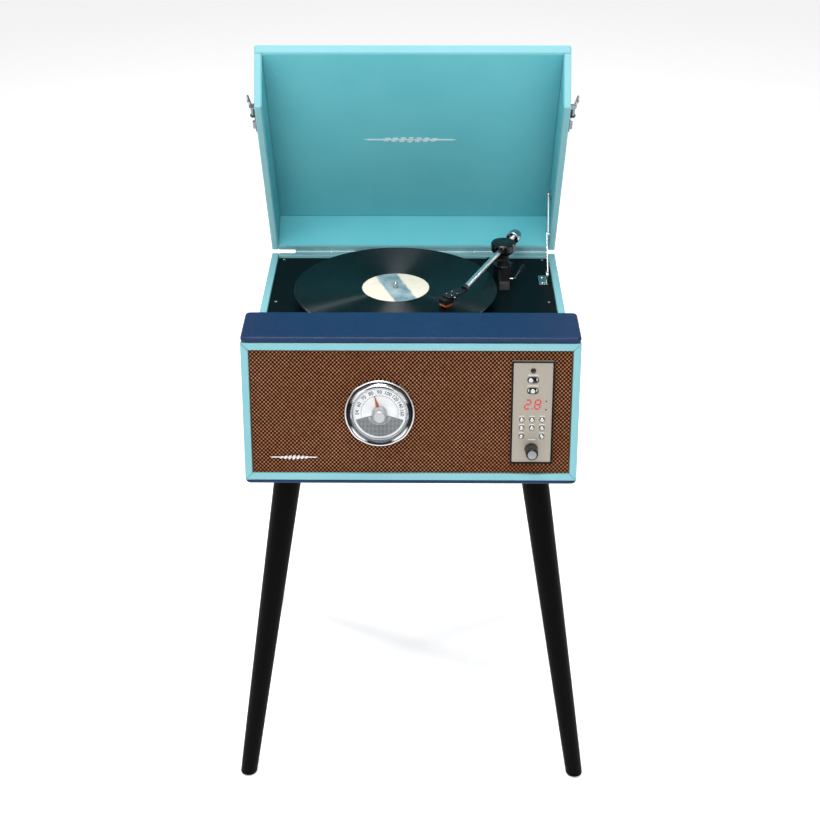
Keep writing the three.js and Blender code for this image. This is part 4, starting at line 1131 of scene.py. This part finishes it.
def leg(side, end):
    """One tapered splayed leg cut level at its floor and board ends, with its glide and mounting plate."""
    node = f"leg_{'front' if end < 0 else 'rear'}_{'left' if side < 0 else 'right'}"
    high = box_of(node)[1].z

    def centre(z):
        flat = FOOT.lerp(LEG_TOP, z / high)
        return Vector((side * flat.x, MID_Y + end * flat.y, z))

    def radius_at(z):
        return LEG_FOOT_R + (LEG_TOP_R - LEG_FOOT_R) * z / high

    def loft(stations, sides=56):
        points = [centre(z) + p for z, radius in stations for p in ring_points(radius, sides)]
        return Shape().skin(points, sides)

    stations = [(GLIDE, LEG_FOOT_R - 1.2), (GLIDE + 1.0, LEG_FOOT_R - 0.2)]
    stations += [(high * k / 10, radius_at(high * k / 10)) for k in range(1, 10)]
    stations += [(high - 1.2, LEG_TOP_R), (high, LEG_TOP_R - 0.8)]
    loft(stations).stand(f"tapered_{node}", LACQUER, node, 40)
    pad = loft([(0, LEG_FOOT_R - 2.6), (0.8, LEG_FOOT_R - 1.8), (GLIDE, LEG_FOOT_R - 1.6)])
    pad.show(f"glide_{node}", PALE_GLIDE, "black_wood", smooth=40)
    top = centre(high)
    plate = Shape(shift(top.x, top.y, BOARD_LOW)).bar(31, -31, 31, -2.1, -0.1, 1.2, 2)
    for x in (-24, 24):
        for y in (-24, 24):
            plate.screw((x, y, -2.0), -Z)
    plate.show(f"mount_{node}", BLACK, "black_wood")


for side in (-1, 1):
    for end in (-1, 1):
        leg(side, end)

# ---- parts inside the cabinet keep their CAD shapes
for node, material in (("front_baffle", BOARD), ("speaker_left", BLACK), ("speaker_right", BLACK),
                       ("main_board", PCB), ("drive_motor", STEEL), ("motor_pulley", STEEL),
                       ("drive_belt", RUBBER)):
    paint(node, material)


# ---- stage: floor, world, lights, camera; in metres
def floor(reach=60.0):
    bm = bmesh.new()
    bm.faces.new([bm.verts.new((x * reach, y * reach, 0)) for x, y in ((-1, -1), (1, -1), (1, 1), (-1, 1))])
    obj = mesh_object("pale_floor", bm)
    look = Look("pale_floor", Roughness=0.7, Specular_IOR_Level=0.2, Emission_Strength=0.5,
                Emission_Color=(1.0, 1.0, 1.0, 1.0))
    look.colour(look.noise(1.5), (243, 243, 243), (247, 247, 247))
    look.bump(look.noise(300, 2), 0.0001, 0.1)
    obj.data.materials.append(look.material)


def soft_room():
    """A grey world, brighter near the horizon so that the floor's far edge does not show."""
    world = bpy.data.worlds.new("soft_room")
    bpy.context.scene.world = world
    world.use_nodes = True
    nodes, links = world.node_tree.nodes, world.node_tree.links
    parts, climb = nodes.new("ShaderNodeSeparateXYZ"), nodes.new("ShaderNodeMapRange")
    for key, value in (("From Min", 0.0), ("From Max", 0.2), ("To Min", 16.0), ("To Max", 2.0)):
        climb.inputs[key].default_value = value
    links.new(nodes.new("ShaderNodeTexCoord").outputs["Generated"], parts.inputs[0])
    links.new(parts.outputs[2], climb.inputs["Value"])
    links.new(climb.outputs[0], nodes["Background"].inputs["Strength"])


def placed(name, data, matrix):
    obj = bpy.data.objects.new(name, data)
    bpy.context.scene.collection.objects.link(obj)
    obj.matrix_world = matrix
    return obj


def lamp(name, place, aimed_at, size, power):
    data = bpy.data.lights.new(name, "AREA")
    data.shape, data.size, data.size_y, data.energy = "RECTANGLE", size[0], size[1], power
    facing = (Vector(aimed_at) - Vector(place)).to_track_quat("-Z", "Y").to_matrix().to_4x4()
    placed(name, data, Matrix.Translation(place) @ facing)


def camera(place, pitch, heading, roll, lens):
    """Looks along heading, turned from +Y, and down by pitch; angles in radians."""
    ahead = Vector((sin(heading) * cos(pitch), cos(heading) * cos(pitch), -sin(pitch)))
    right = Vector((cos(heading), -sin(heading), 0))
    up = right.cross(ahead)
    right, up = right * cos(roll) + up * sin(roll), up * cos(roll) - right * sin(roll)
    data = bpy.data.cameras.new("view_camera")
    data.lens, data.sensor_width, data.sensor_fit = lens, 36.0, "HORIZONTAL"
    data.clip_start, data.clip_end = 0.05, 60
    bpy.context.scene.camera = placed("view_camera", data, axes_matrix(right, up, -ahead, place))


floor()
soft_room()
sun = bpy.data.lights.new("broad_sun", "SUN")
sun.energy, sun.angle = 1.35, radians(60)
placed("broad_sun", sun, turn(-8) @ turn(56, "X"))

MIDDLE = (0, 0, 0.7)
for name, place, aimed_at, size, power in (
    ("overhead_softbox", (0, -0.2, 3.4), MIDDLE, (2.6, 2.0), 3),
    ("record_strip", (-0.1, -0.2, 3.1), MIDDLE, (0.95, 1.8), 58),
    ("record_strip_left", (-2.0, 1.0, 1.8), MIDDLE, (0.3, 0.3), 18),
    ("record_strip_right", (2.0, 1.0, 1.8), MIDDLE, (0.3, 0.3), 7),
    ("edge_strip", (0, -1.55, 3.2), (0, -0.2, 0.7), (3.0, 0.3), 18),
    ("left_softbox", (-2.5, -2.5, 2.4), MIDDLE, (2.8, 2.4), 16),
    ("right_softbox", (2.2, -2.7, 2.0), MIDDLE, (2.4, 2.2), 12),
    ("rear_strip", (0.2, 2.4, 2.2), (0, 0.1, 0.7), (1.6, 0.8), 5),
):
    lamp(name, place, aimed_at, size, power)
camera((0.01767, -2.05686, 1.64624), radians(29.098), -0.0103, -0.0019, 67.87)
bpy.context.scene.view_settings.view_transform = "Standard"
